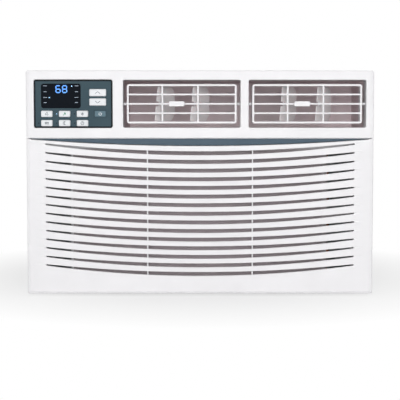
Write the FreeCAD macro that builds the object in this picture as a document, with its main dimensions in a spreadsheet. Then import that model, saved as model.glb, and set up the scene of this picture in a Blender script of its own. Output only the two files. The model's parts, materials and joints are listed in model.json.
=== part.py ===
import FreeCAD, Part
import Sketcher

import math
import os
import re

from FreeCAD import Placement, Rotation, Vector

# A room air conditioner of the kind that stands in a window opening. Millimetres, +Z up.
# The front looks along -Y, and "depth" is the distance behind the front face.
# The origin is under the middle of the whole unit, on the surface that it stands on.

DIMENSIONS = [
    # the whole unit
    ("front_width", 600, "width of the moulded front"),
    ("front_height", 387, "height of the moulded front"),
    ("overall_depth", 560, "front face to rear guard"),
    ("front_lift", 4, "the front's lower edge above the sill"),
    ("cabinet_width", 586, "width of the steel cabinet"),
    ("cabinet_drop", 8, "cabinet top below the front's top"),
    ("panel_gauge", 1, "steel of the cabinet panels"),
    ("pan_gauge", 1.2, "steel of the base pan"),
    ("moulding", 2.5, "wall of the moulded parts"),
    ("seat_gap", 0.3, "clearance where one part seats in another"),
    ("run_gap", 0.05, "radial clearance of a pin that turns"),
    # front bezel
    ("bezel_height", 116.7, "upper moulding, seam to top edge"),
    ("bezel_depth", 48, "upper moulding, front to back"),
    ("corner_radius", 4, "top corners of the front"),
    ("rim_depth", 10, "rim that laps over the cabinet"),
    ("seam_gap", 1, "open seam between bezel and grille"),
    # accent strip under the bezel
    ("strip_half", 291, "half length of the accent strip"),
    ("strip_end", 0.3, "height of the strip at its ends"),
    ("strip_sag", 11.3, "extra height of the strip in the middle"),
    ("strip_set_back", 3, "strip behind the front face"),
    ("strip_thick", 2, "thickness of the strip"),
    ("strip_clear", 0.8, "strip to grille"),
    # control panel
    ("panel_width", 135.3, "control panel"),
    ("panel_height", 82.7, "control panel"),
    ("panel_margin", 13.85, "front's left edge to the control panel"),
    ("panel_radius", 3.6, "corners of the control panel"),
    ("panel_sunk", 1.2, "panel behind the front face"),
    ("panel_thick", 2.5, "thickness of the control panel"),
    ("panel_ledge", 1.5, "ledge that the panel lies on"),
    ("ledge_thick", 2, "thickness of that ledge"),
    # display
    ("lens_width", 67.8, "display window"),
    ("lens_height", 41.9, "display window"),
    ("lens_radius", 4, "corners of the display window"),
    ("lens_left", 12.5, "panel's left edge to the window"),
    ("lens_down", 6.9, "panel's top edge to the window"),
    ("lens_thick", 1.5, "thickness of the window"),
    ("board_depth", 14, "front of the display board"),
    ("board_thick", 1.6, "thickness of a circuit board"),
    ("board_inset", 4, "display board inside the panel's outline"),
    # buttons
    ("arrow_width", 28.5, "up and down buttons"),
    ("arrow_height", 12, "up and down buttons"),
    ("arrow_right", 42.2, "panel's middle to the arrow buttons"),
    ("arrow_up", 19.1, "panel's middle to the upper arrow button"),
    ("arrow_pitch", 16, "upper to lower arrow button"),
    ("key_width", 19.4, "small keys"),
    ("key_height", 10.3, "small keys"),
    ("key_left", 45.8, "panel's middle to the first column of keys"),
    ("key_pitch", 30.75, "column to column"),
    ("key_down", 17.3, "panel's middle to the first row of keys"),
    ("row_pitch", 15.9, "row to row"),
    ("key_radius", 1.6, "corners of the buttons"),
    ("key_sunk", 0.3, "button faces behind the front face"),
    ("key_gap", 0.3, "button to panel"),
    ("flange_width", 0.8, "flange that keeps a button in the panel"),
    ("flange_thick", 0.8, "thickness of the flange"),
    ("flange_gap", 0.2, "flange behind the panel"),
    ("stem_radius", 2.2, "stem of a button"),
    ("key_travel", 1, "travel of a button"),
    ("switch_side", 6, "tact switch"),
    ("switch_thick", 2.5, "tact switch"),
    # air outlets
    ("outlet_margin", 13.5, "outlet to the front's right edge"),
    ("outlet_divider", 14.25, "bar between the two outlets"),
    ("outlet_left", 18.1, "control panel to the first outlet"),
    ("outlet_height", 82, "height of an outlet"),
    ("vent_drop", 57.5, "top edge to the middle of the outlets"),
    ("outlet_radius", 4, "outer corners of the outlets"),
    ("throat_depth", 34, "moulded throat behind an outlet"),
    # louvre cassette
    ("louver_side_gap", 6.25, "cassette to outlet, each side"),
    ("louver_height", 68, "height of a cassette"),
    ("louver_radius", 4.5, "corners of a cassette"),
    ("louver_front", 6, "cassette behind the front face"),
    ("louver_bar", 3.2, "depth of the cassette's bars"),
    ("louver_border", 3.6, "width of the cassette's border"),
    ("louver_rail", 3, "height of the level bars"),
    ("louver_skirt", 1.6, "wall behind the border"),
    ("louver_back", 42, "depth of the cassette's back edge"),
    ("tilt_depth", 22, "depth of the tilt axis"),
    ("tilt_radius", 2.5, "radius of the tilt pins"),
    # vanes
    ("vane_first", 33.6, "first vane left of the cassette's middle"),
    ("vane_second", 28.1, "second vane right of the cassette's middle"),
    ("vane_depth", 37, "depth of the vane pivots"),
    ("vane_height", 60, "height of a vane"),
    ("vane_thick", 1.8, "thickness of a vane"),
    ("vane_angle", 30, "turn of the vanes at rest"),
    ("vane_top_reach", 17, "pivot to the front edge, at the top"),
    ("vane_low_reach", 27, "pivot to the front edge, at the bottom"),
    ("vane_tail", 40, "pivot to the rear edge"),
    ("vane_top_radius", 16, "upper rear corner"),
    ("vane_low_radius", 20, "lower rear corner"),
    ("vane_pivot_radius", 1.5, "pivot rod of a vane"),
    ("crank", 12, "pivot to the link's peg"),
    ("peg_radius", 1.2, "peg that the link turns on"),
    ("notch_half", 4.1, "half height of the notch for the link"),
    ("notch_back", 7, "pivot to the notch"),
    ("tab_width", 26.5, "tab that the vanes are moved by"),
    ("tab_height", 8.7, "the same tab"),
    ("tab_thick", 2.4, "the same tab"),
    ("tab_front", 2.4, "tab behind the front face"),
    ("web_thick", 1.2, "webs that pass the level bar"),
    ("web_width", 6, "width of the webs"),
    ("link_thick", 2.4, "link bar"),
    # intake grille
    ("grille_depth", 21, "depth of the grille's shell"),
    ("grille_plate", 5, "thickness of the grille's bars"),
    ("grille_corner", 3, "lower corners of the grille"),
    ("slot_half", 267, "half length of a slot"),
    ("slot_pitch", 15, "slot to slot"),
    ("slot_top", 10.1, "seam to the first slot's ends"),
    ("slot_foot", 45, "least height left plain under the slots"),
    ("slot_sag", 16, "dip of a slot in the middle"),
    ("slot_end", 2.4, "height of a slot at its ends"),
    ("slot_swell", 4.4, "extra height of a slot in the middle"),
    ("rib_place", 91, "upright ribs, from the middle"),
    ("rib_width", 2, "upright ribs"),
    ("rib_depth", 8, "upright ribs"),
    ("hinge_depth", 9.5, "depth of the grille's hinge"),
    ("hinge_rise", 6, "hinge above the grille's lower edge"),
    ("hinge_place", 240, "hinge lugs, from the middle"),
    ("lug_width", 8, "hinge lug"),
    ("lug_radius", 2.5, "hinge lug"),
    ("ear_gap", 2.5, "lug to ear"),
    ("hinge_pin", 1.5, "radius of the hinge pins"),
    # lower front frame and air filter
    ("frame_front", 22, "front of the lower frame"),
    ("frame_plate", 3.7, "frame in front of the filter"),
    ("frame_rail", 2.5, "frame behind the filter"),
    ("window_half", 286, "half width of the frame's window"),
    ("filter_half", 222, "half width of the filter"),
    ("filter_height", 240, "height of the filter"),
    ("filter_low", 16, "filter above the front's lower edge"),
    ("filter_thick", 5, "thickness of the filter's frame"),
    ("filter_border", 8, "width of the filter's frame"),
    ("filter_grip", 5.5, "bar that the filter is drawn out by"),
    ("mesh_thick", 0.6, "thickness of the filter's net"),
    # cabinet and base pan
    ("pan_front", 34, "front of the base pan"),
    ("pan_rim", 25, "height of the pan's rim"),
    ("cabinet_front", 39, "front of the cabinet panels"),
    ("guard_thick", 4, "rear guard"),
    ("guard_border", 12, "border of the rear guard"),
    ("guard_bar", 3, "bars of the rear guard"),
    ("guard_pitch", 22, "bar to bar"),
    ("louvre_slot", 4, "width of an air slot in the cabinet"),
    ("louvre_length", 90, "length of an air slot"),
    ("louvre_pitch", 12, "slot to slot"),
    ("louvre_count", 14, "slots in a row"),
    ("louvre_rear", 60, "last slot to the rear of the unit"),
    ("louvre_row_gap", 30, "plain band over each row of slots"),
    ("top_slot_place", 140, "slots in the top, from the middle"),
    ("top_slot_count", 8, "slots in the top, each side"),
    ("fixing_radius", 2.2, "holes for rail and curtain screws"),
    ("rail_spacing", 400, "holes for the top rail"),
    ("rail_place", 75, "depth of those holes"),
    ("curtain_spacing", 200, "holes for a side curtain"),
    ("curtain_place", 60, "depth of those holes"),
    ("curtain_low", 100, "height of the lower hole"),
    ("sill_across", 400, "sill bracket holes, side to side"),
    ("sill_along", 120, "sill bracket holes, front to back"),
    ("sill_place", 210, "depth of their middle"),
    ("sill_radius", 3, "sill bracket holes"),
    ("drain_radius", 9, "drain hole in the pan"),
    ("drain_inset", 70, "drain hole from the pan's rear corner"),
    ("screw_radius", 1.9, "cabinet screws"),
    ("screw_first", 60, "first screw behind the cabinet's front edge"),
    ("screw_last", 40, "last screw before the rear guard"),
    ("screw_head", 4, "cabinet screws"),
    ("gland_radius", 4, "bore for the mains lead"),
    ("gland_place", 80, "depth of the gland"),
    ("gland_height", 45, "height of the gland"),
    # air path
    ("duct_wall", 3, "wall of the discharge duct"),
    ("bulkhead_front", 200, "wall between room side and outer side"),
    ("bulkhead_thick", 3, "the same wall"),
    ("scroll_front", 90, "front of the blower's scroll"),
    ("scroll_lift", 60.3, "scroll above the base pan"),
    ("scroll_growth", 6, "growth of the scroll in each quarter"),
    ("scroll_wall", 2.5, "wall of the scroll"),
    ("scroll_neck", 12, "neck between scroll and duct"),
    ("fan_side", 40, "fan shaft right of the middle"),
    ("wheel_gap", 8, "blower wheel inside the scroll"),
    ("wheel_end_gap", 14, "blower wheel to the scroll's ends"),
    ("blade_count", 28, "blades of the blower wheel"),
    ("shaft_radius", 6, "motor shaft"),
    ("motor_front", 225, "front of the motor"),
    ("motor_length", 85, "motor"),
    ("motor_radius", 55, "motor"),
    ("fan_floor_gap", 19, "condenser fan above the base pan"),
    ("fan_tip_gap", 8, "condenser fan to its shroud"),
    ("fan_hub", 30, "radius of the fan's hub"),
    ("fan_length", 36, "depth of the condenser fan"),
    ("fan_rear", 92, "condenser fan to the rear of the unit"),
    ("fan_blades", 5, "blades of the condenser fan"),
    # cooling circuit
    ("evap_front", 44, "front of the evaporator"),
    ("evap_depth", 38, "depth of the evaporator"),
    ("evap_half", 214, "half width of the evaporator"),
    ("evap_top_gap", 8, "evaporator under the discharge duct"),
    ("coil_lift", 8, "fins above the base pan"),
    ("end_plate", 2, "end plates of the coils"),
    ("cond_rear", 15, "condenser to the rear of the unit"),
    ("cond_depth", 40, "depth of the condenser"),
    ("cond_side_gap", 30, "condenser to the cabinet's side"),
    ("cond_top_gap", 6, "condenser to the cabinet's top"),
    ("tube_radius", 4, "tubes of the coils"),
    ("bend_radius", 11, "return bends of the coils"),
    ("bend_pitch", 44, "return bend to return bend"),
    ("comp_radius", 59, "compressor"),
    ("comp_height", 230, "compressor"),
    ("comp_side_gap", 88, "compressor's middle to the cabinet's side"),
    ("comp_place", 77, "compressor's middle behind the bulkhead"),
    ("foot_height", 16, "rubber feet of the compressor"),
    ("foot_reach", 56, "compressor's middle to its feet"),
    ("accu_radius", 24, "suction accumulator"),
    ("accu_height", 140, "suction accumulator"),
    ("pipe_radius", 4, "suction and discharge pipes"),
    # electrics
    ("box_wall", 1.2, "steel of the control box"),
    ("box_left_gap", 12, "control box to the front's left edge"),
    ("box_height", 88, "control box"),
    ("box_back", 100, "depth of the control box's back edge"),
    ("relay_side", 16, "relays"),
    ("relay_pitch", 26, "relay to relay"),
    ("transformer_side", 38, "transformer"),
    ("cap_radius", 22, "run capacitor"),
    ("cap_height", 80, "run capacitor"),
]

doc = FreeCAD.newDocument("window_air_conditioner")
sheet = doc.addObject("Spreadsheet::Sheet", "dims")
for row, (alias, size, note) in enumerate(DIMENSIONS, start=1):
    sheet.set(f"A{row}", alias)
    sheet.set(f"B{row}", str(size))
    sheet.set(f"C{row}", note)
    sheet.setAlias(f"B{row}", alias)
doc.recompute()

ALIASES = {alias for alias, size, note in DIMENSIONS}
nodes = []

# Places that many pieces share, as expressions in the sheet's names.
TOP = "(front_lift + front_height)"
SEAM = f"({TOP} - bezel_height)"
CABINET_TOP = f"({TOP} - cabinet_drop)"
HALF = "(front_width/2)"
CABINET_HALF = "(cabinet_width/2)"
RIM = "(front_width/2 - cabinet_width/2 - seat_gap)"
PANEL_X = f"(panel_margin + panel_width/2 - {HALF})"
VENT_Z = f"({TOP} - vent_drop)"
OUTLETS_FROM = f"(panel_margin + panel_width + outlet_left - {HALF})"
OUTLETS_TO = f"({HALF} - outlet_margin)"
OUTLET_WIDTH = f"(({OUTLETS_TO} - {OUTLETS_FROM} - outlet_divider)/2)"
OUTLET_MIDDLE = {
    "left": f"({OUTLETS_FROM} + {OUTLET_WIDTH}/2)",
    "right": f"({OUTLETS_TO} - {OUTLET_WIDTH}/2)",
}
PANEL_BACK = "(panel_sunk + panel_thick)"
LOUVER_HALF = f"({OUTLET_WIDTH}/2 - louver_side_gap)"
HINGE_Z = "(front_lift + hinge_rise)"
GUARD_FRONT = "(overall_depth - guard_thick)"
DUCT_FLOOR = f"({VENT_Z} - outlet_height/2 - duct_wall)"
SCROLL_RADIUS = f"(({DUCT_FLOOR} - pan_gauge - scroll_lift - scroll_wall - scroll_growth - scroll_neck)/2)"
FAN_Z = f"({DUCT_FLOOR} - scroll_neck - {SCROLL_RADIUS})"
FAN_RADIUS = f"({FAN_Z} - pan_gauge - fan_floor_gap)"
COMP_X = f"({CABINET_HALF} - comp_side_gap)"
COMP_DEPTH = "(bulkhead_front + bulkhead_thick + comp_place)"
COMP_LOW = "(pan_gauge + foot_height)"
COMP_TOP = f"({COMP_LOW} + comp_height)"


def bound(text):
    """Turn each size's name into its cell in the sheet."""
    return re.sub(r"[a-z][a-z_]*", lambda word: f"dims.{word[0]}" if word[0] in ALIASES else word[0], str(text))


def value(text):
    """The number that an expression has now."""
    return float(sheet.evalExpression(bound(text)))


def behind(depth):
    """The Y of a depth behind the front face."""
    return f"{depth} - overall_depth/2"


# ---- Part primitives ----

ALONG = {
    "x": Rotation(Vector(0, 1, 0), 90),
    "y": Rotation(Vector(1, 0, 0), -90),
    "z": Rotation(),
}


def place(item, x, depth, z):
    """Bind a primitive's place: X, depth behind the front face, and Z."""
    for axis, text in zip("xyz", (x, behind(depth), z)):
        item.setExpression(f"Placement.Base.{axis}", bound(text))


def block(name, x, depth, z, size):
    """A box from its low corner."""
    box = doc.addObject("Part::Box", name)
    for field, text in zip(("Length", "Width", "Height"), size):
        box.setExpression(field, bound(text))
    place(box, x, depth, z)
    return box


def rod(name, x, depth, z, radius, length, axis="z"):
    """A cylinder from the middle of its low end, along an axis."""
    cylinder = doc.addObject("Part::Cylinder", name)
    cylinder.Placement = Placement(Vector(), ALONG[axis])
    cylinder.setExpression("Radius", bound(radius))
    cylinder.setExpression("Height", bound(length))
    place(cylinder, x, depth, z)
    return cylinder


def fuse(name, pieces):
    """Join pieces into one."""
    joined = doc.addObject("Part::MultiFuse", name)
    joined.Shapes = pieces
    joined.Refine = True
    return joined


def group(name, pieces):
    """Keep like pieces apart, in one object."""
    compound = doc.addObject("Part::Compound", name)
    compound.Links = pieces
    return compound


def cut(name, base, tools):
    """Take tools away from a base."""
    result = doc.addObject("Part::Cut", name)
    result.Base = base
    result.Tool = tools[0] if len(tools) == 1 else group(f"{name}_tools", tools)
    result.Refine = True
    return result


def node(name, item):
    """Register a finished sub-part under its own name."""
    item.Label = name
    nodes.append(item)
    return item


# ---- PartDesign bodies ----

def corners(x_low, z_low, x_high, z_high):
    """A plain rectangle, counter-clockwise."""
    return [(x_low, z_low), (x_high, z_low), (x_high, z_high), (x_low, z_high)]


def rounded(x_middle, z_middle, width, height, radius):
    """A rectangle with round corners: each arc ends at a corner's second point."""
    left, right = f"{x_middle} - {width}/2", f"{x_middle} + {width}/2"
    low, high = f"{z_middle} - {height}/2", f"{z_middle} + {height}/2"
    return [
        (f"{left} + {radius}", low), (f"{right} - {radius}", low),
        (right, f"{low} + {radius}", radius, 1), (right, f"{high} - {radius}"),
        (f"{right} - {radius}", high, radius, 1), (f"{left} + {radius}", high),
        (left, f"{high} - {radius}", radius, 1), (left, f"{low} + {radius}"),
        (f"{left} + {radius}", low, radius, 1),
    ]


def arc_middle(start, end, radius, side):
    """The middle of the arc from start to end that bulges right (1) or left (-1) of the way."""
    chord = end - start
    outward = Vector(chord.y, -chord.x, 0).normalize() * side
    sag = radius - math.sqrt(max(radius ** 2 - chord.Length ** 2 / 4, 0))
    return (start + end) * 0.5 + outward * sag


def draw_loop(sketch, points):
    """Draw one closed outline, with each corner and radius bound to its expression."""
    if len(points[-1]) > 2 and points[-1][:2] == points[0][:2]:
        points = [points[-1]] + points[1:-1]
    places = [Vector(value(point[0]), value(point[1]), 0) for point in points]
    ends = []
    for start, point in enumerate(points):
        stop = (start + 1) % len(points)
        target = points[stop]
        if len(target) > 2:
            middle = arc_middle(places[start], places[stop], value(target[2]), target[3])
            curve = Part.Arc(places[start], middle, places[stop])
        else:
            curve = Part.LineSegment(places[start], places[stop])
        index = sketch.addGeometry(curve, False)
        first = 1 if (sketch.getPoint(index, 1) - places[start]).Length < 1e-6 else 2
        ends.append((index, first, 3 - first))
        if len(target) > 2:
            bind(sketch, "Radius", (index,), target[2])
    for this, (point, (index, first, last)) in enumerate(zip(points, ends)):
        following = ends[(this + 1) % len(ends)]
        sketch.addConstraint(Sketcher.Constraint("Coincident", index, last, following[0], following[1]))
        bind(sketch, "DistanceX", (index, first), point[0])
        bind(sketch, "DistanceY", (index, first), point[1])


def bind(sketch, kind, geometry, text):
    """Add one dimension to a sketch and bind it to an expression."""
    constraint = sketch.addConstraint(Sketcher.Constraint(kind, *geometry, value(text)))
    sketch.setExpression(f"Constraints[{constraint}]", bound(text))


def draw_circle(sketch, x, z, radius):
    """Draw one circle with its centre and radius bound."""
    index = sketch.addGeometry(Part.Circle(Vector(value(x), value(z), 0), Vector(0, 0, 1), value(radius)), False)
    bind(sketch, "Radius", (index,), radius)
    bind(sketch, "DistanceX", (index, 3), x)
    bind(sketch, "DistanceY", (index, 3), z)


def sketch_on(body, role, offset, loops):
    """A sketch of closed outlines on one of the body's own planes, moved along its normal."""
    plane = next(item for item in body.Origin.OriginFeatures if item.Role == role)
    sketch = body.newObject("Sketcher::SketchObject", f"{body.Name}_outline")
    sketch.AttachmentSupport = [(plane, "")]
    sketch.MapMode = "FlatFace"
    sketch.setExpression("AttachmentOffset.Base.z", bound(offset))
    for loop in loops:
        if loop[0] == "circle":
            draw_circle(sketch, *loop[1:])
        else:
            draw_loop(sketch, loop)
    return sketch


def new_body(name):
    """An empty body."""
    return doc.addObject("PartDesign::Body", name)


def pad(body, depth, thickness, loops):
    """Add material behind an upright outline that lies at a depth."""
    feature = body.newObject("PartDesign::Pad", f"{body.Name}_pad")
    feature.Profile = sketch_on(body, "XZ_Plane", f"overall_depth/2 - ({depth})", loops)
    feature.Reversed = True
    feature.setExpression("Length", bound(thickness))
    return feature


def pocket(body, depth, thickness, loops):
    """Take material away behind an upright outline that lies at a depth."""
    doc.recompute()
    before = body.Shape.Volume
    feature = body.newObject("PartDesign::Pocket", f"{body.Name}_pocket")
    feature.Profile = sketch_on(body, "XZ_Plane", f"overall_depth/2 - ({depth})", loops)
    feature.setExpression("Length", bound(thickness))
    doc.recompute()
    if not body.Shape.Volume < before - 1e-3:
        raise RuntimeError(f"{feature.Name} cuts nothing")
    return feature


# ---- Front bezel: the upper moulding, with the throats of both outlets ----

def front_outline(inset, low, high, radius):
    """The front's outline between two heights, with its round top corners."""
    side = f"({HALF} - {inset})"
    top = f"({high} - {inset})"
    return [
        (f"-{side}", low), (side, low), (side, f"{top} - {radius}"),
        (f"{side} - {radius}", top, radius, 1), (f"{radius} - {side}", top),
        (f"-{side}", f"{top} - {radius}", radius, 1),
    ]


def outlet_outline(hand, grow=0):
    """An outlet, anticlockwise: round corners away from the divider, square ones beside it."""
    middle, half = OUTLET_MIDDLE[hand], f"({OUTLET_WIDTH}/2 + {grow})"
    left, right = f"({middle} - {half})", f"({middle} + {half})"
    low, high = f"({VENT_Z} - outlet_height/2 - {grow})", f"({VENT_Z} + outlet_height/2 + {grow})"
    if hand == "left":
        return [
            (f"{left} + outlet_radius", low), (right, low), (right, high), (f"{left} + outlet_radius", high),
            (left, f"{high} - outlet_radius", "outlet_radius", 1), (left, f"{low} + outlet_radius"),
            (f"{left} + outlet_radius", low, "outlet_radius", 1),
        ]
    return [
        (left, low), (f"{right} - outlet_radius", low), (right, f"{low} + outlet_radius", "outlet_radius", 1),
        (right, f"{high} - outlet_radius"), (f"{right} - outlet_radius", high, "outlet_radius", 1), (left, high),
    ]


def strip_outline(top):
    """The accent strip: a level top edge over a long shallow arc."""
    low = f"{SEAM} - seam_gap - strip_end"
    radius = "(strip_half^2/(2*strip_sag) + strip_sag/2)"
    return [("-strip_half", low), ("strip_half", low, radius, 1), ("strip_half", top), ("-strip_half", top)]


def panel_outline(grow):
    """The control panel's outline, grown all round."""
    return rounded(PANEL_X, VENT_Z, f"(panel_width + 2*{grow})", f"(panel_height + 2*{grow})", "panel_radius")


bezel = new_body("bezel_body")
pad(bezel, 0, "bezel_depth", [front_outline(0, SEAM, TOP, "corner_radius")])
pocket(bezel, "moulding", "bezel_depth",
       [front_outline("moulding", f"({SEAM} + moulding)", TOP, "corner_radius")])
rim_inner = corners(f"{RIM} - {HALF}", f"{SEAM} + moulding", f"{HALF} - {RIM}", f"{CABINET_TOP} + seat_gap")
pad(bezel, "bezel_depth - rim_depth", "rim_depth",
    [front_outline("moulding/2", f"({SEAM} + moulding/2)", TOP, "corner_radius"), rim_inner])
pad(bezel, "moulding/2", f"{PANEL_BACK} + ledge_thick - moulding/2", [panel_outline("moulding")])
pocket(bezel, 0, PANEL_BACK, [panel_outline("seat_gap")])
pocket(bezel, 0, "throat_depth", [panel_outline("(-panel_ledge)")])
for hand in OUTLET_MIDDLE:
    pad(bezel, "moulding/2", "throat_depth - moulding/2", [outlet_outline(hand, "moulding")])
    pocket(bezel, 0, "throat_depth", [outlet_outline(hand)])
pad(bezel, "strip_set_back + strip_thick", "moulding", [strip_outline(f"{SEAM} + moulding/2")])
tilt_holes = [
    rod(f"tilt_hole_{hand}", f"{OUTLET_MIDDLE[hand]} - {OUTLET_WIDTH}/2 - moulding", "tilt_depth", VENT_Z,
        "tilt_radius + run_gap", f"{OUTLET_WIDTH} + 2*moulding", "x")
    for hand in OUTLET_MIDDLE
]


def cabinet_room(name):
    """Room for the cabinet's front edge between the rims, cut out of the walls at the seam."""
    return block(name, f"{RIM} - {HALF}", "cabinet_front - seat_gap", f"{SEAM} - 2*moulding",
                 (f"2*({HALF} - {RIM})", "bezel_depth", "4*moulding"))


node("front_bezel", cut("front_bezel", bezel, [*tilt_holes, cabinet_room("room_in_bezel")]))

strip = new_body("strip_body")
pad(strip, "strip_set_back", "strip_thick", [strip_outline(f"{SEAM} - seam_gap")])
node("accent_strip", strip)


# ---- Control panel, display and buttons ----

LENS_X = f"({PANEL_X} - panel_width/2 + lens_left + lens_width/2)"
LENS_Z = f"({VENT_Z} + panel_height/2 - lens_down - lens_height/2)"
FLANGE_FRONT = f"({PANEL_BACK} + flange_gap)"
STEM_FRONT = f"({FLANGE_FRONT} + flange_thick)"
SWITCH_FRONT = "(board_depth - switch_thick)"


def key_place(column, row):
    """The middle of a small key, counted from the upper left one."""
    x = f"({PANEL_X} - key_left + {column}*key_pitch)"
    return x, f"({VENT_Z} - key_down - {row}*row_pitch)", "key_width", "key_height"


def arrow_place(row):
    """The middle of the up button, or of the down button under it."""
    x = f"({PANEL_X} + arrow_right)"
    return x, f"({VENT_Z} + arrow_up - {row}*arrow_pitch)", "arrow_width", "arrow_height"


buttons = {
    "button_up": arrow_place(0),
    "button_down": arrow_place(1),
    "button_fan_speed": key_place(0, 0),
    "button_energy_saver": key_place(1, 0),
    "button_mode": key_place(2, 0),
    "button_power": key_place(3, 0),
    "button_filter_check": key_place(0, 1),
    "button_sleep": key_place(1, 1),
    "button_timer": key_place(2, 1),
}


def key_outline(x, z, width, height, grow):
    """A button's outline, grown all round."""
    return rounded(x, z, f"({width} + 2*{grow})", f"({height} + 2*{grow})", f"(key_radius + {grow})")


panel = new_body("panel_body")
pad(panel, "panel_sunk", "panel_thick", [panel_outline(0)])
pocket(panel, "panel_sunk", "panel_thick",
       [rounded(LENS_X, LENS_Z, "lens_width", "lens_height", "lens_radius")])
pocket(panel, "panel_sunk", "panel_thick", [key_outline(*button, "key_gap") for button in buttons.values()])
node("control_panel", panel)

lens = new_body("lens_body")
pad(lens, "panel_sunk + seat_gap", "lens_thick",
    [rounded(LENS_X, LENS_Z, "(lens_width - 2*run_gap)", "(lens_height - 2*run_gap)", "lens_radius")])
node("display_lens", lens)
node("display_module", block("display_module", f"{LENS_X} - lens_width/2 + seat_gap", PANEL_BACK,
                             f"{LENS_Z} - lens_height/2 + seat_gap",
                             ("lens_width - 2*seat_gap", f"board_depth - {PANEL_BACK}",
                              "lens_height - 2*seat_gap")))
node("display_board", block("display_board", f"{PANEL_X} - panel_width/2 + board_inset", "board_depth",
                            f"{VENT_Z} - panel_height/2 + board_inset",
                            ("panel_width - 2*board_inset", "board_thick", "panel_height - 2*board_inset")))
for name, (x, z, width, height) in buttons.items():
    cap = new_body(f"{name}_cap")
    pad(cap, "key_sunk", f"{FLANGE_FRONT} - key_sunk", [key_outline(x, z, width, height, 0)])
    pad(cap, FLANGE_FRONT, "flange_thick", [key_outline(x, z, width, height, "flange_width")])
    pad(cap, STEM_FRONT, f"{SWITCH_FRONT} - key_travel - seat_gap - {STEM_FRONT}",
        [("circle", x, z, "stem_radius")])
    node(name, cap)
node("tact_switches", group("tact_switches", [
    block(f"switch_{name}", f"{x} - switch_side/2", SWITCH_FRONT, f"{z} - switch_side/2",
          ("switch_side", "switch_thick", "switch_side"))
    for name, (x, z, width, height) in buttons.items()
]))

# The control box is folded steel, open behind, and is fixed to the discharge duct.
BOX_FROM = f"(box_left_gap - {HALF})"
BOX_TO = f"({OUTLETS_FROM} - duct_wall - seat_gap)"
BOX_FRONT = "(board_depth + board_thick)"
BOX_LOW = f"({VENT_Z} - box_height/2)"
BOX_SIZE = (f"{BOX_TO} - {BOX_FROM}", f"box_back - {BOX_FRONT}", "box_height")
node("control_box", cut("control_box", block("control_box_outside", BOX_FROM, BOX_FRONT, BOX_LOW, BOX_SIZE), [
    block("control_box_inside", f"{BOX_FROM} + box_wall", f"{BOX_FRONT} + box_wall", f"{BOX_LOW} + box_wall",
          (f"{BOX_SIZE[0]} - 2*box_wall", BOX_SIZE[1], "box_height - 2*box_wall")),
]))
BOARD_Z = f"({BOX_LOW} + box_wall + board_inset)"
BOARD_FRONT = f"({BOX_FRONT} + box_wall + seat_gap)"
node("power_board", block("power_board", f"{BOX_FROM} + box_wall + seat_gap", BOARD_FRONT, BOARD_Z,
                          (f"{BOX_SIZE[0]} - 2*box_wall - 2*seat_gap", "board_thick",
                           "box_height - 2*box_wall - 2*board_inset")))
PART_FRONT = f"({BOARD_FRONT} + board_thick)"
node("relays", group("relays", [
    block(f"relay_{count}", f"{BOX_FROM} + {count + 1}*relay_pitch - relay_side", PART_FRONT,
          f"{BOARD_Z} + board_inset", ("relay_side", "relay_side", "relay_side"))
    for count in range(3)
]))
node("transformer", block("transformer", f"{BOX_FROM} + 2*board_inset", PART_FRONT,
                          f"{BOARD_Z} + relay_side + 2*board_inset",
                          ("transformer_side", "transformer_side", "transformer_side")))


# ---- Louvre cassettes, vanes and links ----

LOUVER_LOW = f"({VENT_Z} - louver_height/2)"


def cassette_outline(middle, inset):
    """A cassette's outline, moved inwards."""
    return rounded(middle, VENT_Z, f"(2*{LOUVER_HALF} - 2*{inset})", f"(louver_height - 2*{inset})",
                   f"(louver_radius - {inset})")


def front_edge(height):
    """How far a vane's slanted front edge stands before its pivot, at a height."""
    return f"(-vane_top_reach - (vane_height/2 - {height})*(vane_low_reach - vane_top_reach)/vane_height)"


# A vane seen from its side, with its pivot at zero: slanted front, notch for the link, round rear corners.
vane_outline = [
    (front_edge("vane_height/2"), "vane_height/2"), (front_edge("notch_half"), "notch_half"),
    ("-notch_back", "notch_half"), ("-notch_back", "-notch_half"),
    (front_edge("(-notch_half)"), "-notch_half"), (front_edge("(-vane_height/2)"), "-vane_height/2"),
    ("vane_tail - vane_low_radius", "-vane_height/2"),
    ("vane_tail", "vane_low_radius - vane_height/2", "vane_low_radius", 1),
    ("vane_tail", "vane_height/2 - vane_top_radius"),
    ("vane_tail - vane_top_radius", "vane_height/2", "vane_top_radius", 1),
]

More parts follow.
